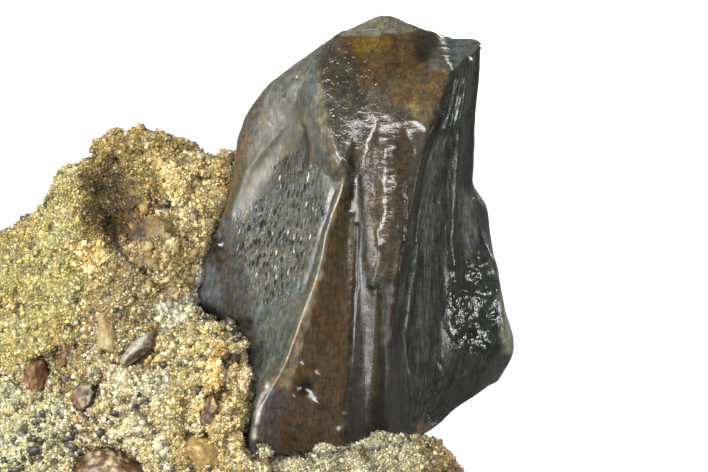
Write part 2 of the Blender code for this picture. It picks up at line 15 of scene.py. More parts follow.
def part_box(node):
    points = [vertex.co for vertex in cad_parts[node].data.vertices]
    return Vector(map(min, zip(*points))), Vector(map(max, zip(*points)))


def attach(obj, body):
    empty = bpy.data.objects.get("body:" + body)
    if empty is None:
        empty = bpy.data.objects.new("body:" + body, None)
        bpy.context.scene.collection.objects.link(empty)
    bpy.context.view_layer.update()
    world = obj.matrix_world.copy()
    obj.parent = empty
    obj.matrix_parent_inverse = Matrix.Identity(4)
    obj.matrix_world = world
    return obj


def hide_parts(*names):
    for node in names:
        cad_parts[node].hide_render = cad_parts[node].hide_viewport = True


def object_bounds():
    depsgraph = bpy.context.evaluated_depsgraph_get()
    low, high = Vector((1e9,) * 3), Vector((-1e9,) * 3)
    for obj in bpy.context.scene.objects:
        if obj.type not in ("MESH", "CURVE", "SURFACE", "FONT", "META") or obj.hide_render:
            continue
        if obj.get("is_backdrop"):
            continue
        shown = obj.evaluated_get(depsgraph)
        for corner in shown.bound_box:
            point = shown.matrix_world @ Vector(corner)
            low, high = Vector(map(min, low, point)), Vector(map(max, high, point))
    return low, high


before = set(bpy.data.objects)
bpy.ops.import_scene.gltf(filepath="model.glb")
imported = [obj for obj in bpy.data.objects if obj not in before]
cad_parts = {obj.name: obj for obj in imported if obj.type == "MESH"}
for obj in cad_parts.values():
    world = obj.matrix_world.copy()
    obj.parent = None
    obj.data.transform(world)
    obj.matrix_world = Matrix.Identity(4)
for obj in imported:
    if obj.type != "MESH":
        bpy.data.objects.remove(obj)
cad_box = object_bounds()
print("solids:", ", ".join(sorted(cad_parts)))

# %% [markdown]
# The crown leans back a little in its stone. All its ridges are easier to place on a plane
# that faces it squarely, so this lesson uses a face frame: x to the right, up along the
# crown, depth away from whoever faces it, all in millimetres.

# %% The face frame
MM = 0.001
LEAN = math.radians(12.0)
FACE_CENTRE = Vector((9.0, -5.0, 19.0)) * MM
FACE_TURN = Matrix.Rotation(-LEAN, 3, "X")


def world_of(x, up, depth):
    """A point of the face frame, in metres in the solids' own frame."""
    return FACE_TURN @ (Vector((x, depth, up)) * MM) + FACE_CENTRE


def face_of(points):
    """(x, up, depth) in millimetres of points in the solids' own frame."""
    local = (np.asarray(points) - np.array(FACE_CENTRE)) @ np.array(FACE_TURN) / MM
    return local[:, [0, 2, 1]]


print("the face frame's zero lies at", [round(v, 4) for v in FACE_CENTRE])

# %% [markdown]
# A long lens from some way off shows the specimen almost without perspective. It looks
# straight at the face frame, and so down by its lean.

# %% The camera
VIEW_WIDTH = 35.4  # mm of the specimen that the view spans
LENS, SENSOR_WIDTH = 600.0, 36.0  # mm
camera_data = bpy.data.cameras.new("camera")
camera_data.sensor_width = SENSOR_WIDTH
camera_data.lens = LENS
camera_data.clip_start = 0.05
camera_data.clip_end = 20.0
camera = bpy.data.objects.new("camera", camera_data)
camera.location = world_of(-0.3, 0.7, -LENS * VIEW_WIDTH / SENSOR_WIDTH)
camera.rotation_euler = (math.radians(90) - LEAN, 0, 0)
bpy.context.scene.collection.objects.link(camera)
bpy.context.scene.camera = camera
bpy.context.scene.view_settings.view_transform = "Standard"
print("the camera stands", round((camera.location - FACE_CENTRE).length, 3), "m away")

# %% [markdown]
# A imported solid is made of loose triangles, and it is left alone. A copy of it is merged into
# one skin, subdivided until it has enough points for small forms, and moved point by point.
# NumPy moves hundreds of thousands of points at once, where a loop would take minutes.

# %% Tools for meshes
def merged_copy(name, node):
    """A new object with the node's surface, its corners merged and its quads joined again."""
    bm = bmesh.new()
    bm.from_mesh(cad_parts[node].data)
    bmesh.ops.remove_doubles(bm, verts=bm.verts, dist=1e-6)
    bmesh.ops.join_triangles(
        bm, faces=bm.faces[:], angle_face_threshold=1.2, angle_shape_threshold=1.2
    )
    bmesh.ops.recalc_face_normals(bm, faces=bm.faces)
    for layers in (bm.loops.layers.uv, bm.loops.layers.float_vector):
        while layers:
            layers.remove(layers[0])
    mesh = bpy.data.meshes.new(name)
    bm.to_mesh(mesh)
    bm.free()
    if "custom_normal" in mesh.attributes:
        mesh.attributes.remove(mesh.attributes["custom_normal"])
    made = bpy.data.objects.new(name, mesh)
    bpy.context.scene.collection.objects.link(made)
    return made


def settle(obj):
    """Applies the object's modifiers to its mesh."""
    graph = bpy.context.evaluated_depsgraph_get()
    mesh = bpy.data.meshes.new_from_object(obj.evaluated_get(graph), depsgraph=graph)
    obj.modifiers.clear()
    obj.data = mesh
    mesh.name = obj.name


def values(mesh, what="co"):
    """The mesh's vertices, or their normals, as an array."""
    source = mesh.vertices if what == "co" else mesh.vertex_normals
    out = np.empty(len(mesh.vertices) * 3, np.float32)
    source.foreach_get("co" if what == "co" else "vector", out)
    return out.reshape(-1, 3).astype(float)


def put(mesh, points):
    """Moves the mesh's vertices to those points."""
    mesh.vertices.foreach_set("co", points.astype(np.float32).ravel())
    mesh.update()


def store(mesh, name, data):
    """Stores one number or one colour for each vertex, for the materials."""
    kind, field = ("FLOAT", "value") if data.ndim == 1 else ("FLOAT_COLOR", "color")
    if data.ndim == 2:
        data = np.concatenate((data, np.ones((len(data), 1))), axis=1)
    layer = mesh.attributes.new(name, kind, "POINT")
    layer.data.foreach_set(field, data.astype(np.float32).ravel())


def refined(obj, levels):
    """Subdivides smoothly. The cage is pushed out first, so that no form shrinks."""
    wanted = values(obj.data)
    subsurf = obj.modifiers.new("refined", "SUBSURF")
    subsurf.levels = subsurf.render_levels = levels
    for _ in range(3):
        graph = bpy.context.evaluated_depsgraph_get()
        shown = values(obj.evaluated_get(graph).data)[: len(wanted)]
        put(obj.data, values(obj.data) + wanted - shown)
    settle(obj)


def triangles(obj):
    """How many triangles the object's faces make."""
    return sum(len(face.vertices) - 2 for face in obj.data.polygons)


def thinned(obj, hidden, most):
    """Thins the object where its points are hidden, until it has that many triangles."""
    group = obj.vertex_groups.new(name="hidden")
    for index in np.flatnonzero(hidden > 0.05):
        group.add([int(index)], float(hidden[index]), "REPLACE")
    thin = obj.modifiers.new("thin hidden", "DECIMATE")
    thin.ratio = min(1.0, most / triangles(obj))
    thin.vertex_group = "hidden"
    settle(obj)
    obj.vertex_groups.clear()


print("the packed block has", triangles(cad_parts["sandstone_matrix"]), "triangles")

# %% [markdown]
# The crown was one piece of enamel and dentine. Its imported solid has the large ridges; here
# its surface is refined first, so that there are enough points to carve the small ones.

# %% The crown, refined
crown = merged_copy("enamel_crown", "tooth")
refined(crown, 3)
print("the crown has", len(crown.data.vertices), "points")

# %% [markdown]
# Nature has no straight edges and no even surfaces. Gradient noise gives lumps of any size,
# and a line or an outline on the face says where a form lies. Its points are written as
# "x,up x,up ..." in millimetres.

# %% Tools for forms on the face
def clouds(points, size, seed=0, octaves=1):
    """Smooth noise of about -1 to 1, with lumps of that size (a number, or one per axis)."""
    total, weight, gain = np.zeros(len(points)), 0.0, 1.0
    for octave in range(octaves):
        place = points / np.array(size) / gain + 31.7 * (seed + octave)
        cell = np.floor(place).astype(np.int64)
        t = place - cell
        ease = t * t * t * (t * (t * 6 - 15) + 10)
        for corner in np.ndindex(2, 2, 2):
            key = (cell + corner) @ np.array((374761393, 668265263, 715827883)) & 0xFFFFFFFF
            key = (key ^ (key >> 13)) * 1274126177 & 0xFFFFFFFF
            key = key ^ (key >> 16)
            slope = np.stack([(key >> shift & 255) / 127.5 - 1 for shift in (0, 8, 16)], axis=1)
            share = np.prod(np.where(corner, ease, 1 - ease), axis=1)
            total += 1.7 * gain * share * ((t - corner) * slope).sum(axis=1)
        weight += gain
        gain /= 2
    return total / weight


def wandering(place, amount, size, seed, octaves):
    """The points' x and up, drifted by about that amount, so that edges wander."""
    drift = [clouds(place, size, seed + step, octaves) for step in (0, 1)]
    return place[:, :2] + amount * np.stack(drift, axis=1)


def corners_of(path):
    """The points of a path that is written as "x,up x,up ..."."""
    return np.array([[float(v) for v in corner.split(",")] for corner in path.split()])


def gap_squared(points, start, end):
    """The square of each point's distance from the straight line between two others."""
    way = end - start
    t = np.clip((points - start) @ way / (way @ way), 0, 1)
    return ((points - start - t[:, None] * way) ** 2).sum(axis=1)


def near(points, line, width):
    """1 on a line on the face, falling smoothly to 0 about two widths away."""
    corners = corners_of(line)
    best = np.full(len(points), np.inf)
    for start, end in zip(corners, corners[1:]):
        best = np.minimum(best, gap_squared(points, start, end))
    return np.exp(-best / width**2)


def inside(points, outline, soft):
    """1 inside an outline on the face, 0 outside, with a soft edge."""
    corners = corners_of(outline)
    odd = np.zeros(len(points), bool)
    best = np.full(len(points), np.inf)
    for start, end in zip(corners, np.roll(corners, -1, axis=0)):
        best = np.minimum(best, gap_squared(points, start, end))
        spans = (start[1] > points[:, 1]) != (end[1] > points[:, 1])
        way = end - start
        rise = way[1] if way[1] else 1e-9
        odd ^= spans & (points[:, 0] < start[0] + (points[:, 1] - start[1]) / rise * way[0])
    signed = np.where(odd, 1, -1) * np.sqrt(best)
    t = np.clip(signed / (2 * soft) + 0.5, 0, 1)
    return t * t * (3 - 2 * t)


print("noise at one point:", clouds(np.ones((1, 3)), 0.7, 1, 2).round(3))

# %% [markdown]
# Ridges run down the crown where the enamel is folded, and grooves lie beside them. Each is
# a line on the face with a height and a half-width; the bumps are chips and worn swellings.
# Only the side that faces the viewer gets them.

# %% Ridges, grooves and bumps
RIDGES = (  # (height, half-width, the line it follows): raised above the enamel round it
    (0.065, 0.075, "-0.85,3.45 -1.1,2.5 -1.45,1.6 -1.75,0.5 -1.9,-0.55 -2.23,-1.6 -2.75,-2.98 "
     "-3.15,-4.12 -3.5,-5.15 -3.75,-5.85"),
    (0.11, 0.2, "-4.4,-6.4 -4.8,-7.15 -5.05,-8.25 -5.2,-9.4"),
    (0.05, 0.35, "-2.4,8.9 -2.45,7.5 -2.1,5.75 -1.75,4 -1.8,2.25 -2.3,0.5 -2.9,-1.25 -3.5,-3.1 "
     "-4,-4.75"),
    (0.035, 0.22, "-2.7,7.6 -3.65,6.35 -4.85,5 -5.65,4.05 -6.05,2.9 -6.6,1.7"),
    (0.06, 0.1, "4.5,8.7 4.2,7.7 3.62,6.07 3.15,4.92 2.83,3.55 2.6,2.4 2.42,1.25 2.2,0 1.95,-1.15"),
    (0.08, 0.2, "5.45,9.45 5.2,8.05 5,6 4.75,3.5 4.6,0.5 4.75,-2"),
    (0.06, 0.12, "5.67,2.5 5.95,1.1 6.35,0.05 6.7,-0.65 6.88,-1.65 7.1,-2.8 7.22,-3.67 7.25,-4.8"),
    (0.05, 0.07, "6.05,10.2 5.1,9.4 4.5,8.85 4,9.2"),
    (0.09, 0.15, "0.95,1 1.05,0 0.9,-0.9 0.65,-1.75"),
    (0.07, 0.14, "2.2,2.5 2.1,0.75 1.8,-1.1"),
    (0.02, 0.08, "-0.05,1.25 -0.1,-1.35 -0.25,-3.65 -0.33,-5.6 -0.53,-7.1"),
)
GROOVES = (  # the same, cut into the enamel
    (-0.12, 0.07, "-0.15,1.25 -0.22,-1.35 -0.37,-3.65 -0.45,-5.6 -0.65,-7.1 -0.8,-8.1"),
    (-0.06, 0.16, "5.6,7 4.9,6 4.3,4.5 3.9,2.5"),
    (-0.07, 0.16, "4.6,8.3 4,6.4 3.4,4.5 3.05,2.5 2.8,0.5"),
    (-0.03, 0.05, "3.6,-4.4 3.9,-5.5 4.5,-6.6 5.3,-7.4"),
    (-0.03, 0.05, "2.9,-4 3.2,-5.5 3.8,-7 4.6,-8.1"),
    (-0.03, 0.05, "2.25,-4.25 2.5,-5.9 3,-7.5 3.7,-8.7"),
    (-0.03, 0.05, "4.3,-4 4.7,-5.1 5.5,-6.1 6.3,-6.7"),
    (-0.07, 0.12, "-1.3,3 -1.6,1.9 -2,0.5 -2.3,-0.6 -2.8,-2.1"),
    (-0.1, 0.18, "-2.85,6.1 -2.7,5 -3,4"),
    (-0.05, 0.06, "3.4,10.3 4.6,10.2 5.9,10.4"),
    (-0.04, 0.05, "3.5,9.9 4.4,9.8 5.2,9.9"),
    (-0.05, 0.06, "3.5,9.4 4.3,9.4 4.9,9.5"),
)
BUMPS = (  # (height, radius, middle)
    (0.12, 0.22, (-2.8, -5.8)), (0.16, 0.22, (-2, -6.3)), (0.16, 0.22, (-2.1, -7.7)),
    (0.14, 0.18, (-3.2, -7.4)), (-0.26, 0.36, (-2.7, -6.9)), (0.15, 0.28, (-1.1, -9.1)),
    (-0.1, 0.4, (3.15, 9.95)), (0.09, 0.22, (-7.15, 0.25)), (-0.1, 0.1, (-3.15, 8.65)),
    (-0.06, 0.08, (-3.85, 7.8)), (-0.06, 0.1, (-2.6, 9.2)), (-0.05, 0.08, (-4.5, 6.4)),
    (0.14, 0.6, (1.4, 5)), (0.08, 0.4, (1.9, 3.25)), (0.07, 0.3, (1, 0.25)), (0.05, 0.3, (2, 0.5)),
    (-0.05, 0.35, (0.9, 1.9)), (0.1, 0.4, (6.4, -3.4)), (0.12, 0.35, (5.3, -2)),
    (-0.1, 0.35, (5.7, -4.25)), (0.1, 0.25, (6.6, -1.75)), (0.08, 0.2, (-0.7, 3.6)),
    (-0.05, 0.2, (-0.5, 2.5)), (0.05, 0.18, (-0.4, 1.9)),
)
co, normal = values(crown.data), values(crown.data, "normals")
place = face_of(co)
facing = np.clip(-(normal @ np.array(FACE_TURN)[:, 1]) * 4 + 0.6, 0, 1)
flat = wandering(place, 0.06, 0.9, 1, 2)
height = np.zeros(len(co))
for rise, width, line in RIDGES + GROOVES:
    height += rise * near(flat, line, width)
for rise, radius, middle in BUMPS:
    height += rise * np.exp(-((flat - middle) ** 2).sum(axis=1) / radius**2)
height *= facing
# Painted shade: the deeper a groove or dent is carved, the darker it is painted below.
crevice_shade = np.clip(-height * 6, 0, 0.75)
print("folds from", round(height.min(), 2), "to", round(height.max(), 2), "mm")

# %% [markdown]
# Between the ridges the enamel has textures: wrinkles on the broad swelling, pits and growth
# lines on the left panel, lines that fan out on the right face, glassy lumps at its foot.
# Each is noise, drawn out along the way in which that part of the tooth grew.

# %% Textures of the face
TEXTURED = (  # (name, softness of its edge, outline)
    ("wrinkled", 0.5, "-0.75,6.25 0.25,6.9 2.8,7.1 2.65,2.5 2.3,-1.25 1.25,-2.5 0.4,-2.1 0.1,2.5 "
     "-0.75,3.25"),
    ("silvered", 0.5, "0.1,6.5 2.7,6.8 2.6,3 0.3,2.6"),
    ("sparkling", 0.5, "-2.1,10.1 -0.5,10.9 0.9,9 0.6,6.4 -0.6,4.9 -1.4,5.75 -1.9,7.5"),
    ("pitted", 0.6, "-4.4,4.1 -3.5,5 -1.9,4.4 -1.8,1.75 -2.4,0 -3,-1.75 -3.8,-2.75 -4.9,-2.5 -6,0 "
     "-6.2,1.75 -5.1,2.5 -4,2.75"),
    ("streaked", 0.4, "-5.5,2.5 -1.75,4.25 -1.9,1.75 -2.4,0 -3.2,-3 -4.25,-6.1 -5.5,-7.5 -5.5,-4 "
     "-6.1,0"),
    ("rust_spotted", 0.3, "-4.9,8.1 -5.75,7.1 -6.2,6 -6.6,4 -7.15,2.2 -6.6,1.9 -6.1,3.25 -5.7,5 "
     "-5.4,6.25 -4.7,7.5"),
    ("lumpy", 0.4, "4.7,-0.4 6.1,-0.1 6.9,-2 7.25,-4.5 6,-5.2 4.8,-4.8 4.3,-2.5"),
    ("right_face", 0.2, "4.5,8.7 6.1,10.2 5.8,3.2 7.25,-4.8 5.5,-7.7 2,-9.7 1.6,-4.5 2.55,1.25"),
    ("banded", 0.3, "-0.15,-0.6 0.75,-1.75 2.15,-1.4 1.9,-4.75 1.6,-7.5 3.5,-9.1 1.75,-10 "
     "-0.85,-10.25 -0.65,-7.1 -0.4,-3.65"),
    ("flank", 0.4, "-2.7,9.9 -2.6,7.25 -4.9,4.25 -6.1,1.6 -7,2.1 -6.4,6 -4.9,8.25"),
    ("mottled", 0.5, "-1.1,11.1 2.6,11.2 4.6,9.2 4,6.9 -0.6,6.5 -1.75,9.5"),
)
SLANT = 0.19  # mm across per mm up: how far the left panel's growth lines lean
CARVED = (  # (where, height mm, along, lump size mm, seed, octaves)
    ("streaked", 0.022, "slanted", (0.13, 1.6, 0.5), 3, 2),
    ("wrinkled", 0.012, "face", (1.0, 0.30, 0.6), 6, 2),
    ("silvered", 0.022, "face", (1.0, 0.30, 0.6), 6, 2),
    ("wrinkled", 0.025, "face", 0.8, 10, 2),
    ("silvered", 0.045, "face", 0.8, 10, 2),
    ("sparkling", 0.006, "face", 0.35, 26, 2),
    ("right_face", 0.022, "fan", (0.16, 2.4, 0.8), 7, 2),
    ("lumpy", 0.09, "face", 0.7, 30, 2),
    ("banded", 0.012, "face", (0.22, 3.0, 0.5), 57, 2),
    ("everywhere", 0.02, "face", 0.8, 8, 3),
    ("behind", 0.05, "face", (0.35, 2.5, 0.35), 9, 2),
    ("behind", 0.14, "face", (1.1, 5.0, 1.1), 55, 3),
    ("behind", 0.05, "face", 0.7, 59, 2),
)


def leaning(lean):
    """The place, sheared so that lines that lean that much (mm across per mm up) are upright."""
    return np.stack((place[:, 0] - lean * place[:, 1], place[:, 1], place[:, 2]), axis=1)


def textured(rows):
    """The sum of rows of (where, amount, along, lump size, seed, octaves)."""
    total = np.zeros(len(place))
    for where, amount, along, size, seed, octaves in rows:
        total += on[where] * amount * clouds(ways[along], size, seed, octaves)
    return total


left_edge = np.interp(place[:, 1], (-9.7, -5, 0, 3.6, 8.7), (2.2, 1.6, 2.2, 2.8, 4.5))
right_edge = np.interp(place[:, 1], (-9.7, -7, -4.8, 1.1, 3.2, 10), (3.2, 6.2, 7.3, 6.0, 5.7, 6.1))
across = (place[:, 0] - left_edge) / (right_edge - left_edge)
fan = np.stack((across * 4, place[:, 1], place[:, 2]), axis=1)
ways = {"face": place, "slanted": leaning(SLANT), "oblique": leaning(0.6), "fan": fan}
on = {name: inside(flat, outline, soft) * facing for name, soft, outline in TEXTURED}
on.update(everywhere=np.ones(len(co)), behind=1 - facing, silvered=on["silvered"] * on["wrinkled"])
pit_depth = np.clip(clouds(ways["slanted"], (0.17, 0.34, 0.34), 4) * 2.0 - 0.25, 0, 1)
height += textured(CARVED) - on["pitted"] * 0.03 * pit_depth
height += on["lumpy"] * 0.05 * np.abs(clouds(place, 0.35, 31))
put(crown.data, co + normal * height[:, None] * MM)
print("carved from", round(height.min(), 2), "to", round(height.max(), 2), "mm")

# %% [markdown]
# Some textures are too fine even for these points, so the material draws them. It has to
# know where: each amount is stored on the points, and the material reads it by its name.
# "tilt" turns a slope up, away from the lamps, as the worn steps of the real one are.

# %% Amounts for the material
TURNED_UP = (  # (top, outline): slopes that face up more than the solid does
    (9.0, "-2.4,9.5 -0.5,10.5 0.6,9 0.3,6.4 -0.4,4.2 -1.1,3.9 -1.7,4.6 -2.2,7"),
    (8.0, "2.6,8.1 4.1,8.3 3.9,6.1 3.2,5.4 2.5,6.4"),
)
tilt = np.zeros(len(co))
for top, outline in TURNED_UP:
    tilt += inside(flat, outline, 0.6) * np.clip(top - place[:, 1], 0, 8) * facing
amounts = {
    "wrinkle": on["wrinkled"],
    "sparkle": np.clip(0.15 * on["sparkling"] + 0.4 * on["lumpy"] + 0.4 * on["pitted"], 0, 1),
    "pit": np.clip(on["pitted"] * (1.1 + 1.2 * clouds(place, 0.9, 29, 2)), 0, 1),
    "gleam": np.clip(on["sparkling"] + 0.9 * on["pitted"], 0, 1),
    "tilt": tilt,
    "behind": on["behind"],
    "speck": np.clip(on["pitted"] * (clouds(place, 0.7, 27) * 2 + 0.6), 0, 1),
    "striate": (0.7 - 0.35 * facing + 0.5 * on["banded"]) * (1 - on["wrinkled"]),
    "fanned": on["right_face"] * (1 - on["lumpy"]),
    "rust": on["rust_spotted"],
}
for name, amount in amounts.items():
    store(crown.data, name, amount)
store(crown.data, "fan", fan * MM)
print("stored", ", ".join(amounts))

# %% [markdown]
# Minerals stained the enamel as it turned to stone: orange-brown down the front, blue-grey
# on the right face, olive-grey on the worn panel. Each stain is a zone on the face with its
# own colour and polish, and its edge wanders a little. A few zones are painted light and
# shade instead: painted highlights on the lower-left crest, a ridge and the right rim, and
# painted shadow beside the front's right edge and under the lobe. Colours are written as the
# hex values that a screen shows, and turned into the linear values that a renderer needs in
# one place.

# %% The stains' zones, with painted light and shade
def linear(colour):
    """A hex colour as a screen shows it, in linear light."""
    shown = (int(colour[i : i + 2], 16) / 255 for i in (0, 2, 4))
    return tuple(c / 12.92 if c <= 0.04045 else ((c + 0.055) / 1.055) ** 2.4 for c in shown)


def towards(colour, tint, share):
    """The points' colours, moved towards a hex tint by each point's share."""
    return colour + (np.array(linear(tint)) - colour) * share[:, None]


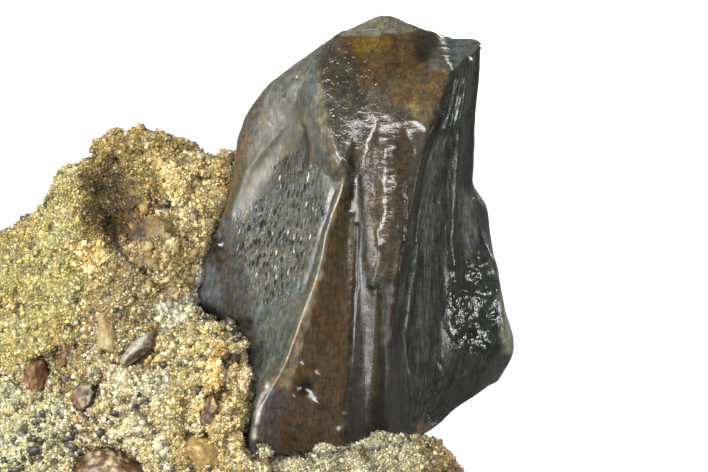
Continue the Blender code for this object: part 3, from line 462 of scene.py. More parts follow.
ENAMEL_ZONES = (  # (colour, strength, softness, roughness, outline): later ones lie over earlier
    ("484232", 0.9, 0.35, 0.6, "-1.5,11.5 -6.75,7.5 -8.5,-2.5 -6,-4 -5.6,-11 -3,-11 -0.5,-2.5 "
     "-0.75,5 -0.5,11"),
    ("353834", 0.9, 0.25, 0.42, "-4.9,8.2 -4.3,8.7 -2.6,10.1 -1.4,10.8 -1.8,9.5 -2.3,8.5 -2.6,7.25 "
     "-3.4,6 -4.4,5 -5.5,5 -5.85,6.6"),
    ("2d2a22", 0.8, 0.2, 0.36, "-4.9,8.1 -5.75,7.1 -6.2,6 -6.5,4 -7,2.25 -6.4,1.9 -6,3.25 -5.6,4.5 "
     "-5.4,6 -4.9,7.25"),
    ("1c1f11", 0.8, 0.2, 0.62, "-2.75,8.25 -3.85,6.6 -5.1,5.4 -5.85,4.25 -6.35,2.9 -6.7,1.4 "
     "-6.1,1.4 -5.6,2.7 -4.9,3.9 -3.6,5.1 -3,6.25 -2.6,7.5"),
    ("20160c", 0.5, 0.2, 0.5, "-4,8.25 -3.4,8 -3.2,7.1 -3.7,6.6 -4.1,7.3"),
    ("181b1a", 0.85, 0.3, 0.55, "-2.8,6.4 -2.35,5.5 -2.2,4.25 -3,3.6 -4.4,2.5 -5.5,1.75 -5.85,2.25 "
     "-5.2,3.25 -4.5,4.1 -3.5,5.1"),
    ("2a2e2c", 0.9, 0.3, 0.42, "-2.1,4.5 -1.7,3.5 -1.7,1.75 -2.3,0 -2.9,-1.75 -3.5,-3.5 -4.1,-5.4 "
     "-4.9,-6.75 -5.5,-7.5 -5.6,-5.5 -5.4,-4.25 -5.7,-3.5 -6.1,-2 -6,0 -6.2,1.4 -5.5,2.25 -4.25,3 "
     "-3,3.9"),
    ("383a38", 0.6, 0.45, 0.36, "-6.5,1.7 -4.9,2.6 -3.6,3.1 -3.5,1.25 -4.6,-0.6 -5.9,-0.9"),
    ("303432", 0.85, 0.25, 0.36, "-5.75,-4 -4.9,-2.5 -3.75,-2 -2.9,-2 -3.4,-4 -4,-5.6 -4.7,-6.75 "
     "-5.2,-8 -5.65,-8.75"),
    ("323634", 0.85, 0.2, 0.42, "-2.1,9.9 -1.5,10.2 -2.05,8.5 -2.2,7.6 -1.9,6.25 -1.5,5 -1.25,3.75 "
     "-1.6,3.25 -2,3.9 -2.4,5.25 -2.7,6.6 -2.85,7.75 -2.6,9"),
    ("2c302d", 0.85, 0.15, 0.42, "-2,4 -1,3.9 -1.2,2.5 -1.55,1.4 -1.9,-0.25 -2.3,-1.7 -2.85,-3.1 "
     "-3.3,-4.3 -3.7,-5.4 -4.4,-6.6 -4.6,-6.3 -3.9,-4.5 -3.2,-2.5 -2.7,-1.1 -2.25,0.5 -1.95,2"),
    ("17120e", 0.5, 0.25, 0.34, "-1.8,6.25 -1.3,5 -0.85,3.9 -1.1,2.5 -1.45,2.25 -1.4,3.7 -1.7,5"),
    ("252728", 0.9, 0.25, 0.28, "-6.55,2 -5.9,0.75 -5.7,-1.5 -5.5,-3.6 -6.25,-3.5 -7.4,-3.25 "
     "-8.25,-2.85 -8.5,-2.15 -8.2,-0.8 -7.5,1.3"),
    ("4c5055", 0.7, 0.35, 0.25, "-8.05,-0.6 -7.4,-0.6 -7,-1.75 -7.1,-2.65 -8,-2.65 -8.3,-2"),
    ("2a1a10", 0.5, 0.35, 0.3, "-7.65,0 -7,0 -6.7,-0.6 -7.3,-0.9 -7.8,-0.7"),
    ("100f0f", 0.8, 0.12, 0.2, "-7.6,0.6 -6.8,0.7 -6.8,-0.1 -7.6,-0.1"),
    ("292720", 0.95, 0.3, 0.26, "-1.4,11.3 4,11.1 4.8,8.7 4.2,7.5 3.4,5 2.9,2.5 2.45,0 2.1,-2 "
     "-0.75,-2.5 -1.25,0.25 -0.75,3 -1.1,5 -1.6,7 -2,8.5 -1.9,10"),
    ("1b1b15", 0.85, 0.3, 0.26, "-2.1,10 -1.5,10.3 -0.4,9.5 0.3,8 0.4,6 -0.5,4.5 -1,4.25 "
     "-1.45,5.75 -2,7.25"),
    ("261b0b", 0.85, 0.4, 0.3, "-1.1,11 3,11.05 3.4,10.25 3.2,9.2 2,8.7 1.25,7.9 0.1,8.3 -0.5,9.5 "
     "-0.9,10.3"),
    ("392f11", 0.75, 0.35, 0.28, "-0.2,10.9 1.4,11 1.3,10 0.6,9.6 -0.2,9.9"),
    ("2c2410", 0.6, 0.15, 0.34, "1.9,10.4 2.8,10.4 2.7,9.6 2.1,9.6"),
    ("4a4020", 0.6, 0.12, 0.3, "2.6,7.9 2.95,7.8 2.9,6.5 2.55,6.7"),
    ("302512", 0.75, 0.4, 0.42, "2,9 3.25,9.1 3,7.75 2,7.1 1.4,7.6"),
    ("30200e", 0.8, 0.15, 0.42, "3.2,9.1 4.5,9.1 4.2,8.5 3.5,8.5"),
    ("382d1e", 0.75, 0.3, 0.36, "3.3,8.5 4.25,8.5 4,7.25 3.4,6.1 2.9,6.4 3,7.7"),
    # Painted shadow: a dark band on the shaded side of the ridge at the front's right edge.
    ("0e0b07", 0.85, 0.12, 0.34, "4.3,8.3 4.55,8.3 4,6.5 3.4,4.5 2.95,2.5 2.7,2.5 3,4.5 3.6,6.5"),
    ("241b14", 0.6, 0.4, 0.36, "0.1,6.25 2.6,6.7 2.6,3.5 2.2,1 1.6,2.5 0.25,3"),
    ("2a1f12", 0.6, 0.4, 0.24, "0.4,3 1.5,3.2 1.4,1 0.6,0.5 0.1,1.75"),
    ("0a0906", 0.75, 0.25, 0.5, "-0.7,3 0.2,4 0.4,2 0.3,-2.5 -0.15,-2.5 -0.4,0.5"),
    ("251c11", 0.95, 0.12, 0.27, "-0.75,3 -0.25,1.25 -0.3,-2.5 -0.5,-5.75 -0.75,-8.5 -1.1,-10.1 "
     "-4.4,-10.4 -4,-8.5 -3.4,-6.75 -3,-5 -2.4,-3 -1.9,-1.25 -1.6,0.75 -1.15,1.9"),
    ("221f11", 0.7, 0.2, 0.27, "-0.75,3 -0.25,1.25 -0.3,-1 -1.5,-1.5 -1.4,1.25"),
    ("241a0b", 0.6, 0.25, 0.27, "-2.1,-2 -0.4,-1.5 -0.5,-4.5 -1.5,-5 -2.4,-4"),
    ("261f15", 0.8, 0.3, 0.25, "-3.75,-7.25 -0.75,-7.25 -1,-10.25 -4.4,-10.4"),
    ("0b0a06", 0.9, 0.15, 0.4, "-0.15,-0.5 0.75,-1.75 2.3,-1.25 2,-3 1.8,-4.75 1.6,-7.5 1.5,-9.8 "
     "-0.85,-10.1 -0.65,-7.1 -0.4,-3.65"),
    ("181608", 0.7, 0.2, 0.45, "0.3,-2 1.5,-2 1.3,-5 0.8,-7.5 0.3,-7 0.2,-4"),
    # Painted sheen: this lighter grey patch stands for a soft satin highlight on the ridge.
    ("4b4b49", 0.5, 0.3, 0.5, "1.2,-1.75 1.8,-1.5 1.55,-4.5 1.2,-4.75"),
    ("0c0b08", 0.8, 0.4, 0.42, "-0.75,-7.5 1.6,-7 3.5,-9.1 1.75,-10 -0.75,-10.25"),
    ("140606", 0.7, 0.08, 0.28, "2.6,2.25 2.2,0 1.95,-2 1.7,-4.75 1.5,-4.75 1.7,-1.75 2,0.25 "
     "2.4,2.25"),
    ("414138", 0.9, 0.08, 0.45, "-1,10.85 0.75,12 2,12.1 2.9,11 -0.25,10.75"),
    ("303635", 0.95, 0.08, 0.35, "4.3,10.7 6.3,10.8 6.2,10.2 5.1,9.4 4.5,8.85 4.2,9.4"),
    ("303028", 0.9, 0.12, 0.5, "3.4,10.4 4.3,10.5 4.6,9.5 4.4,8.8 3.5,9.1"),
    ("14110b", 0.9, 0.25, 0.45, "2.7,11 3.4,10.95 3.9,10.6 3.7,10 3.4,9.4 2.9,9.5"),
    ("222521", 0.95, 0.1, 0.34, "4.6,8.8 5.15,9.4 6.2,10.25 6.1,7.9 5.8,4.5 5.7,3.2 6.05,1.1 "
     "6.8,-0.6 7.2,-3 7.3,-5 7.25,-6.5 5.2,-8 3.6,-9.2 2.9,-9.6 1.5,-9.8 1.65,-4.5 1.95,-2 "
     "2.55,1.25 3.3,5 4.3,7.65"),
    ("222822", 0.75, 0.15, 0.36, "5.2,9.2 5.7,9.5 5.5,8 5.2,6.25 5,4 4.9,1.75 4.5,1.25 4.5,3.5 "
     "4.4,4.5 4.8,6.5"),
    ("111c10", 0.75, 0.12, 0.4, "5.95,9.5 6.1,7.9 5.8,4.5 5.7,3.2 5.5,3.2 5.5,5.5 5.7,7.5"),
    ("4c504e", 0.55, 0.4, 0.36, "3.8,6 4.2,5.5 3.8,3 3.5,0.5 3.2,-0.5 3,1 3.2,3.5"),
    ("646b67", 0.5, 0.35, 0.36, "5.15,3 5.5,2.75 5.8,0.5 5.5,-0.5 5.1,0.5"),
    ("151917", 0.9, 0.4, 0.12, "4.6,-0.6 6,-0.1 6.85,-1.75 7.2,-3.5 7.25,-5 6,-5.3 4.75,-4.75 "
     "4.3,-2.5"),
    # Partly painted light: a greenish rim strip along the right edge, painted lighter where light
    # from behind catches it.
    ("646b5e", 0.6, 0.25, 0.5, "6.95,-0.6 7.9,-3.75 7.8,-5.25 7.15,-5.1 7,-2.5"),
    ("060606", 0.9, 0.1, 0.3, "5.7,3.25 6.25,3 6.85,-0.4 6.35,0.05 5.95,1.1"),
    ("242022", 0.9, 0.15, 0.22, "-4.6,-6.65 -3.5,-6.9 -3.85,-8.25 -4.3,-10.25 -5.6,-10.4 "
     "-5.6,-9.35 -5.2,-8.2"),
    ("44372b", 0.7, 0.3, 0.4, "2.7,-8.7 3.5,-8.65 3.55,-9.45 2.75,-9.55"),
    ("0c0b09", 0.8, 0.2, 0.9, "1.6,-4 2.2,-2.5 2.2,-4.75 2.4,-7.5 2.6,-9.5 1.4,-9.85 1.3,-7.5"),
    # Painted highlight: the lower-left crest is painted lighter, as a satin sheen.
    ("383939", 0.75, 0.1, 0.42, "-4.5,-6.5 -4.2,-6.9 -4.7,-8.1 -4.9,-9.5 -5.6,-9.75 -5.5,-8.75 "
     "-5.1,-7.5"),
    # Painted shade: black along the lobe's lower edge, where it overhangs the stone.
    ("060606", 0.8, 0.22, 0.3, "-8.3,-2.4 -7.7,-2.8 -6.6,-3.25 -5.4,-3.5 -5.4,-4.2 -6.7,-3.9 "
     "-8.3,-3.1"),
)
print("the face has", len(ENAMEL_ZONES), "stains")

# %% [markdown]
# The stains are laid over a dark ground one by one. Growth lines and mottling then lighten
# and darken them, grooves and pits get painted shade, and crisp edges get painted highlights
# that are paler and also polished.

# %% The crown, stained, with painted shade and highlights
PAINTED_EDGE_LINES = (  # (half-width, colour, share, line): painted highlights along crisp edges, and one dark line
    # Painted highlights: pale lines on the top of ridge B, along its lower run and on the
    # lower-left crest.
    (0.028, "7a7068", 0.5, "-0.8,3.55 -1.1,2.5 -1.45,1.6"),
    (0.022, "5a4038", 0.12, "-1.45,1.6 -1.75,0.5 -1.9,-0.55 -2.23,-1.6 -2.75,-2.98 -3.15,-4.12 "
     "-3.5,-5.15"),
    (0.13, "8a8884", 0.7, "-4.6,-6.8 -4.9,-7.5 -5.1,-8.25 -5.25,-9.3"),
    # A dark line along the lower edge of the top facet.
    (0.05, "151310", 0.8, "6,10.15 5.1,9.35 4.55,8.85"),
)
TONES = (  # (where, strength, along, lump size mm, seed, octaves)
    ("everywhere", 0.30, "face", 0.45, 15, 3),
    ("everywhere", 0.22, "face", (0.15, 0.6, 0.4), 16, 2),
    ("flank", 0.5, "oblique", (0.11, 1.5, 0.5), 53, 3),
    ("mottled", 0.55, "face", 0.55, 58, 4),
    ("right_face", 0.38, "fan", (0.2, 2.4, 0.8), 17, 3),
    ("streaked", 0.6, "slanted", (0.12, 1.1, 0.5), 18, 2),
    ("banded", 0.7, "face", (0.12, 2.4, 0.5), 52, 3),
)
colour = np.tile(linear("1c1915"), (len(co), 1))
colour *= np.exp(0.4 * clouds(place, (0.4, 2.5, 0.4), 11, 2))[:, None]
blotched = np.clip(0.5 + 1.3 * clouds(place, (2.5, 4.0, 2.5), 51, 3), 0, 1) * on["behind"]
colour = towards(colour, "4a4030", 0.6 * blotched)
polish = 0.36 + 0.3 * on["behind"]
wander = wandering(place, 0.20, 0.7, 12, 4)
for tint, strength, soft, rough, outline in ENAMEL_ZONES:
    cover = strength * inside(wander, outline, soft) * facing
    colour = towards(colour, tint, cover)
    polish += (rough - polish) * cover
colour *= np.exp(textured(TONES) - 0.05)[:, None]
# Painted shade: grooves, dents and pits are painted darker.
colour *= ((1 - crevice_shade) * (1 - 0.4 * on["pitted"] * pit_depth))[:, None]
# Painted highlights: the edges are painted paler, and they are also polished.
for thick, tint, share, line in PAINTED_EDGE_LINES:
    edge_paint = share * near(flat, line, thick) * facing
    edge_paint *= np.clip(0.55 + 1.3 * clouds(place, 0.5, 28, 2), 0, 1)
    colour = towards(colour, tint, edge_paint)
    polish += (0.22 - polish) * edge_paint
polish += 0.07 * clouds(place, 0.35, 19, 2)
polish *= 0.7 - 0.2 * on["wrinkled"] - 0.2 * on["lumpy"]
store(crown.data, "stain", np.clip(colour, 0, 1))
store(crown.data, "polish", np.clip(polish, 0.08, 0.8))
print("mean stain", colour.mean(axis=0).round(3), "and roughness", polish.mean().round(2))

# %% [markdown]
# The hidden back needs fewer points than the face, so they are thinned out there.

# %% The crown, finished
CROWN_TRIANGLES = 185000
thinned(crown, np.clip(1.2 - facing * 1.6, 0, 1), CROWN_TRIANGLES)
crown.data.shade_smooth()
print("the crown has", triangles(crown), "triangles")

# %% [markdown]
# Fossil enamel is hard, dense and glossy where it is unworn, like glazed pottery. Fine
# growth lines run up and down it, and dust has settled in its pits; its pale specks are also
# painted glints. Each pattern is noise with lumps of a real size, on coordinates that are
# stretched the way the enamel grew.

# %% Fossil enamel, its patterns
def add(tree, kind, inputs=None, **settings):
    """Adds a node with its settings; each input takes a constant or another node's output."""
    made = tree.nodes.new(kind)
    for name, value in settings.items():
        setattr(made, name, value)
    for name, value in (inputs or {}).items():
        if isinstance(value, bpy.types.NodeSocket):
            tree.links.new(value, made.inputs[name])
        else:
            made.inputs[name].default_value = value
    return made


def new_material(name):
    """A material with its Principled BSDF: (material, tree, shader)."""
    made = bpy.data.materials.new(name)
    made.use_nodes = True
    return made, made.node_tree, made.node_tree.nodes["Principled BSDF"]


enamel, tree, shader = new_material("fossilised_enamel")
where = {
    "solid": add(tree, "ShaderNodeTexCoord").outputs["Object"],
    "fan": add(tree, "ShaderNodeAttribute", attribute_name="fan").outputs["Vector"],
}
for name, source, turn, scale in (
    ("face", "solid", (LEAN, 0, 0), (1, 1, 1)),
    ("upright", "face", (0, 0, 0), (1, 1, 0.06)),
    ("level", "face", (0, 0, 0), (0.3, 0.5, 1)),
    ("slanted", "face", (0, math.atan(SLANT), 0), (1, 1, 0.3)),
    ("fanned", "fan", (0, 0, 0), (1, 0.05, 0.3)),
):
    where[name] = add(
        tree, "ShaderNodeMapping", {"Vector": where[source], "Rotation": turn, "Scale": scale}
    ).outputs["Vector"]
part = {  # the values that the material's sums are made of, by name
    name: add(tree, "ShaderNodeAttribute", attribute_name=name).outputs["Fac"]
    for name in (*amounts, "polish")
}
for name, along, lump, detail, low, high in (  # lumps in mm, spread from low to high
    ("lines", "upright", 0.09, 3.0, 0, 1),
    ("growth", "fanned", 0.07, 4.0, 0, 1),
    ("wrinkles", "level", 0.09, 2.0, 0, 1),
    ("furrows", "upright", 0.40, 5.0, 0, 1),
    ("grit", "solid", 0.10, 3.0, 0, 1),
    ("beads", "solid", 0.17, 1.0, 0, 1),
    ("glints", "solid", 0.24, 1.0, 0, 1),
    ("dots", "solid", 0.22, 3.0, 0, 1),
    ("clusters", "solid", 0.6, 2.0, -0.3, 2.2),
    ("line contrast", "solid", 0.32, 5.0, 0.55, 1.45),
    ("mottle", "solid", 0.32, 5.0, 0.4, 0.9),
    ("dapple", "solid", 0.05, 2.0, 0.7, 1.3),
    ("warm", "solid", 0.5, 5.0, 0.88, 1.28),
    ("smudges", "solid", 0.07, 2.0, -0.04, 0.06),
    ("scuffs", "solid", 0.9, 4.0, 0.0, 0.3),
):
    lumps = add(
        tree, "ShaderNodeTexNoise",
        {"Vector": where[along], "Scale": 1 / (lump * MM), "Detail": detail, "Roughness": 0.6},
    )
    part[name] = add(
        tree, "ShaderNodeMapRange",
        {"Value": lumps.outputs["Fac"], "From Min": 0.32, "From Max": 0.68,
         "To Min": low, "To Max": high},
    ).outputs["Result"]
for name, spacing in (("holes", 0.20), ("deposits_and_glints", 0.31)):  # mm from one to the next
    part[name] = add(
        tree, "ShaderNodeTexVoronoi", {"Vector": where["slanted"], "Scale": 1 / (spacing * MM)}
    ).outputs["Distance"]
print("the enamel has", len(part), "patterns and amounts")

# %% [markdown]
# The patterns are sharpened and blended, and short sums turn them into what the shader
# needs: "gain" lightens and darkens the stain and paints shade into the pits, and pits and
# dust roughen the polish. Each step is one node, and takes numbers or the results of earlier
# steps by their names.

# %% Fossil enamel, its sums
for name, source, start, end, low, high in (  # from start to end, the source goes low to high
    ("holes", "holes", 0.46, 0.30, 0, 1),
    ("pit", "pit", 0.35, 0.8, 0, 1),
    ("deposits_and_glints", "deposits_and_glints", 0.21, 0.14, 0, 1),
    ("speck", "speck", 0.5, 0.8, 0, 1),
    ("growth", "growth", 0.15, 1.0, 0, 1),
    ("furrowed", "furrows", 0.0, 1.0, 0.55, 1.25),
    ("dots", "dots", 0.66, 0.9, 0, 1),
    ("glints", "glints", 0.72, 1.05, 0, 1),
):
    part[name] = add(
        tree, "ShaderNodeMapRange",
        {"Value": part[source], "From Min": start, "From Max": end, "To Min": low, "To Max": high},
    ).outputs["Result"]
for name, share, first, second in (
    ("growth", "fanned", 1.0, "growth"),
    ("along", "wrinkle", "lines", "wrinkles"),
    ("furrowed", "behind", 1.0, "furrowed"),
):
    part[name] = add(
        tree, "ShaderNodeMix", {0: part[share], 2: part.get(first, first), 3: part[second]}
    ).outputs[0]
for result, operation, first, second in (
    ("pits", "MULTIPLY", "holes", "pit"),
    ("pits", "MULTIPLY", "pits", "clusters"),
    ("specks", "MULTIPLY", "deposits_and_glints", "speck"),
    ("gain", "MULTIPLY", "along", 0.7),
    ("gain", "MULTIPLY", "gain", "line contrast"),
    ("gain", "ADD", "gain", "mottle"),
    ("gain", "MULTIPLY", "gain", "dapple"),
    # Painted shade: the pits are painted almost black.
    ("open", "MULTIPLY", "pits", -0.93),
    ("open", "ADD", "open", 1.0),
    ("gain", "MULTIPLY", "gain", "open"),
    ("growth", "MULTIPLY", "growth", 1.25),
    ("growth", "ADD", "growth", 0.42),
    ("gain", "MULTIPLY", "gain", "growth"),
    ("gain", "MULTIPLY", "gain", "furrowed"),
    ("cool", "SUBTRACT", 2.0, "warm"),
    ("dots", "MULTIPLY", "dots", "rust"),
    ("dust", "MAXIMUM", "specks", "pits"),
    ("dust", "MULTIPLY", "dust", 0.45),
    ("scuffs", "MULTIPLY", "scuffs", "behind"),
    ("roughness", "ADD", "polish", "smudges"),
    ("roughness", "ADD", "roughness", "dust"),
    ("roughness", "ADD", "roughness", "scuffs"),
):
    part[result] = add(
        tree, "ShaderNodeMath", {0: part.get(first, first), 1: part.get(second, second)},
        operation=operation,
    ).outputs[0]
print("the enamel has", len(tree.nodes), "nodes")

# %% [markdown]
# The shader's colour is the stain, lightened and warmed here and there, with rust and pale
# specks over it, which are partly dust and partly painted glints. Its relief adds the patterns
# that are finer than the mesh, each by a weight.

# %% Fossil enamel, its colour and relief
RELIEF_UNIT = 0.02  # mm
RELIEF = (  # (pattern, where, height in units)
    ("lines", "striate", 0.25), ("wrinkles", "wrinkle", 0.4), ("beads", "sparkle", 1.0),
    ("grit", 1.0, 0.10), ("glints", "gleam", 1.3), ("tilt", 1.0, 8.0), ("pits", 1.0, -2.5),
    ("furrows", "behind", 1.6),
)
stain = add(tree, "ShaderNodeAttribute", attribute_name="stain").outputs["Color"]
shaded = add(tree, "ShaderNodeVectorMath", {0: stain, "Scale": part["gain"]}, operation="SCALE")
hue = add(tree, "ShaderNodeCombineXYZ", {0: part["warm"], 1: 1.0, 2: part["cool"]})
tinted = add(
    tree, "ShaderNodeVectorMath", {0: shaded.outputs["Vector"], 1: hue.outputs[0]},
    operation="MULTIPLY",
).outputs["Vector"]
# Rust dots, and pale specks that are partly dust and partly painted glints.
for share, tint in (("dots", "5d3c1c"), ("specks", "968f7c")):
    tinted = add(
        tree, "ShaderNodeMix", {0: part[share], 6: tinted, 7: (*linear(tint), 1)}, data_type="RGBA"
    ).outputs[2]
relief = 0.0
for pattern, mask, weight in RELIEF:
    there = add(
        tree, "ShaderNodeMath", {0: part[pattern], 1: part.get(mask, mask)}, operation="MULTIPLY"
    ).outputs[0]
    relief = add(
        tree, "ShaderNodeMath", {0: there, 1: weight, 2: relief}, operation="MULTIPLY_ADD"
    ).outputs[0]
bump = add(
    tree, "ShaderNodeBump", {"Height": relief, "Distance": RELIEF_UNIT * MM, "Strength": 1.0}
)
tree.links.new(tinted, shader.inputs["Base Color"])
tree.links.new(part["roughness"], shader.inputs["Roughness"])
tree.links.new(bump.outputs["Normal"], shader.inputs["Normal"])
shader.inputs["IOR"].default_value = 1.5
crown.data.materials.clear()
crown.data.materials.append(enamel)
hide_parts("tooth")
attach(crown, "root")
print("the crown wears", enamel.name)

# %% [markdown]
# The cement between the sand grains is tinted by iron: olive-yellow on the weathered left,
# orange and cream on the freshly broken front, and dark brown in the hollow, which is partly
# painted shade. Cracks, the gaps beside the tooth and small patches are painted darker as
# painted shade too. The zones are kept in a function, because the sand and the dust on the
# pebbles take the same tints, painted shade included.

# %% The stone's tints
CRACKS_AND_SHADOW_LINES = (  # (depth mm, half-width, darkness, line): cracks and the gaps beside the tooth, carved by their depth and painted darker as painted shade
    (0.45, 0.13, 0.8, "-7.85,-9.1 -7.5,-9.5 -7.4,-10.2 -7.5,-11.2"),
    (0.3, 0.12, 0.7, "-6.75,-3.9 -6.62,-5.2 -6.72,-6.5 -7.2,-7.6"),
    (0.4, 0.2, 0.6, "-11.2,-7.9 -10.7,-8.5 -10.1,-9.2"),
    (0.3, 0.15, 0.6, "-12.6,1.6 -12.3,0.4 -11.6,-0.6 -10.6,-1.2 -9.8,-2"),
    (0.3, 0.22, 0.8, "-8.3,-2.6 -7.4,-3.3 -6.2,-3.6 -5.5,-4.2"),
    (0.3, 0.14, 0.8, "-5.5,-4.4 -5.35,-6 -5.6,-7.6 -5.8,-10 -5.3,-10.5"),
    (0.2, 0.12, 0.7, "-5.3,-10.5 -3.6,-10.4 -1,-10.1 2,-9.8"),
)
STONE_ZONES = (  # (colour, strength, softness, outline)
    ("897f47", 0.9, 1.2, "-24,3 -14.2,5 -13.2,0.5 -14,-3.5 -17,-6 -25,-8"),
    ("695506", 0.9, 0.7, "-14.2,5.6 -10,7.5 -6,6 -6.5,3.6 -10,3 -11.5,1 -13.8,0.5"),
    # Partly painted shade: the hollow is dark brown, for its own colour and for the shade in it.
    ("3f2406", 0.85, 0.6, "-13.8,3.6 -12.2,4.4 -11.2,2.6 -11,0.6 -12.4,0.4 -13.4,1.6"),
    ("c1ad78", 0.8, 0.5, "-10.5,5 -6.2,5 -7.5,1 -8.2,-2.8 -10.5,-1.8 -9.5,1.2"),
    ("655031", 0.7, 0.3, "-8.2,4.8 -6.4,4.6 -6.6,3.2 -8,3.6"),
    ("9ba5a1", 0.8, 0.3, "-8.2,-0.6 -7,-1.2 -6.8,-3.1 -8.6,-3"),
    ("9d905b", 0.8, 0.6, "-9.6,-3.3 -5.4,-3.6 -5.2,-10.8 -9.4,-11 -10.2,-6"),
    ("b69b5f", 0.6, 0.5, "-8.6,-5.2 -6.2,-4.4 -5.6,-10.8 -8.4,-10.6"),
    ("b6ad86", 0.7, 0.8, "-13.6,-5.8 -9.8,-6.2 -9.6,-11 -13.4,-11.2"),
    ("a8a881", 0.6, 0.8, "-18.5,-6.5 -14.6,-7.2 -14.4,-12 -19.5,-12"),
    ("d3b370", 0.9, 0.3, "-14.6,0.4 -13.1,0.5 -12.9,-1 -14.3,-1.2"),
    ("a0a38e", 0.95, 0.2, "-10.4,-2.8 -8.9,-2.4 -8.7,-3.4 -10,-4.2"),
    ("b89249", 0.8, 0.12, "-7.3,-3.9 -6.6,-3.9 -6.7,-6.6 -7.4,-6.9"),
    ("edcfa3", 0.9, 0.1, "-6.1,-4 -5.4,-4 -5.3,-6.8 -5.9,-6.9"),
    ("979477", 0.7, 0.8, "-5.2,-9.6 3,-9 3,-12 -5,-12"),
    ("816b3d", 0.8, 0.5, "3,-9.2 5.5,-10 6,-12 3.4,-12"),
)


def stone_tint(place):
    """The stone's colour at points of the face frame, with painted shade in its hollow, cracks and
    gaps.
    """
    colour = np.tile(linear("75663d"), (len(place), 1))
    wander = wandering(place, 0.5, 1.6, 31, 3)
    front = np.clip(1.5 - place[:, 2] / 8, 0, 1)
    for tint, strength, soft, outline in STONE_ZONES:
        colour = towards(colour, tint, strength * inside(wander, outline, soft) * front)
    # Painted shade: the cracks and the gaps beside the tooth are painted darker.
    for _, width, dark, line in CRACKS_AND_SHADOW_LINES:
        crack_shade = near(wander * 0.3 + place[:, :2] * 0.7, line, width)
        colour *= (1 - dark * front * crack_shade)[:, None]
    warm = 0.22 * clouds(place, 1.1, 34, 3)
    colour *= np.stack((1 + warm, np.ones(len(warm)), 1 - 1.6 * warm), axis=1)
    colour *= (1 + 0.34 * clouds(place, 1.6, 33, 3))[:, None]
    # Painted shade: dark brown patches at random, which stand for the shade of small hollows.
    shade_pockets = np.clip(3.0 * clouds(place, 0.6, 56, 3) - 0.6, 0, 0.8)
    return np.clip(towards(colour, "3a2a12", shade_pockets), 0.002, 1)


print("the stone has", len(STONE_ZONES), "tints")

# %% [markdown]
# Pebbles, chips, cement and grains are all dull minerals with fine mottling. One function
# makes such a material from the colours that a piece stores, because only the size of the
# mottling, its contrast and its relief differ. The mottling's scale is in lumps per
# millimetre.

# %% Dull minerals
def dull_mineral(piece, name, roughness, per_mm, detail, crispness, dark, pale, relief, strength):
    """Gives the piece a mottled material in its stored tone, with that relief in mm."""
    made, tree, shader = new_material(name)
    where = add(tree, "ShaderNodeTexCoord").outputs["Object"]
    tone = add(tree, "ShaderNodeAttribute", attribute_name="tone").outputs["Color"]
    mottle = add(
        tree, "ShaderNodeTexNoise",
        {"Vector": where, "Scale": per_mm / MM, "Detail": detail, "Roughness": crispness},
    ).outputs["Fac"]
    gain = add(
        tree, "ShaderNodeMapRange",
        {"Value": mottle, "From Min": 0.3, "From Max": 0.7, "To Min": dark, "To Max": pale},
    ).outputs["Result"]
    tinted = add(tree, "ShaderNodeVectorMath", {0: tone, "Scale": gain}, operation="SCALE")
    bump = add(
        tree, "ShaderNodeBump", {"Height": mottle, "Distance": relief * MM, "Strength": strength}
    )
    tree.links.new(tinted.outputs["Vector"], shader.inputs["Base Color"])
    tree.links.new(bump.outputs["Normal"], shader.inputs["Normal"])
    shader.inputs["Roughness"].default_value = roughness
    piece.data.materials.clear()
    piece.data.materials.append(made)


print("materials so far:", len(bpy.data.materials))

# %% [markdown]
# Pebbles and chips sit in the sand: chert, ironstone and slivers of bone. Each is a stone of
# its own, so each is a piece of its own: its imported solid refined, its showing side broken
# into flats, then roughened and grown until it touches its socket again.

# %% Pebbles and chips
SWELL = 0.16  # mm, which closes the gap that a packed pebble keeps to its socket
CHIP_LOOKS = (  # (node, piece, slot, colour, second colour, flats, lump mm, rise mm, roughness)
    ("buff_pebble", "buff_chert_pebble", "buff_chert",
     "76633c", "5f4a26", 9, 0.9, 0.07, 0.55),
    ("brown_pebble", "brown_chert_pebble", "ironstone",
     "4f3220", "382013", 4, 1.2, 0.06, 0.4),
    ("tan_pebble", "tan_chert_pebble", "buff_chert",
     "7c6238", "93794a", 6, 0.8, 0.1, 0.65),
    ("bone_splinter", "bone_splinter_piece", "fossil_bone",
     "4a3f3a", "2c2420", 12, 0.5, 0.05, 0.38),
    ("bone_sliver", "bone_sliver_piece", "fossil_bone",
     "3a241e", "54381f", 10, 0.4, 0.08, 0.5),
    ("ironstone_chip_left", "ironstone_left", "ironstone",
     "704a22", "4c2a12", 11, 0.5, 0.1, 0.55),
    ("ironstone_chip_middle", "ironstone_middle", "ironstone",
     "4f3220", "2c1a10", 12, 0.5, 0.14, 0.5),
    ("ironstone_chip_upper", "ironstone_upper", "ironstone",
     "5c3c2c", "3e2a20", 12, 0.6, 0.12, 0.5),
    ("clay_flake", "clay_flake_piece", "buff_chert",
     "7d6238", "8e7f58", 10, 0.5, 0.09, 0.7),
)
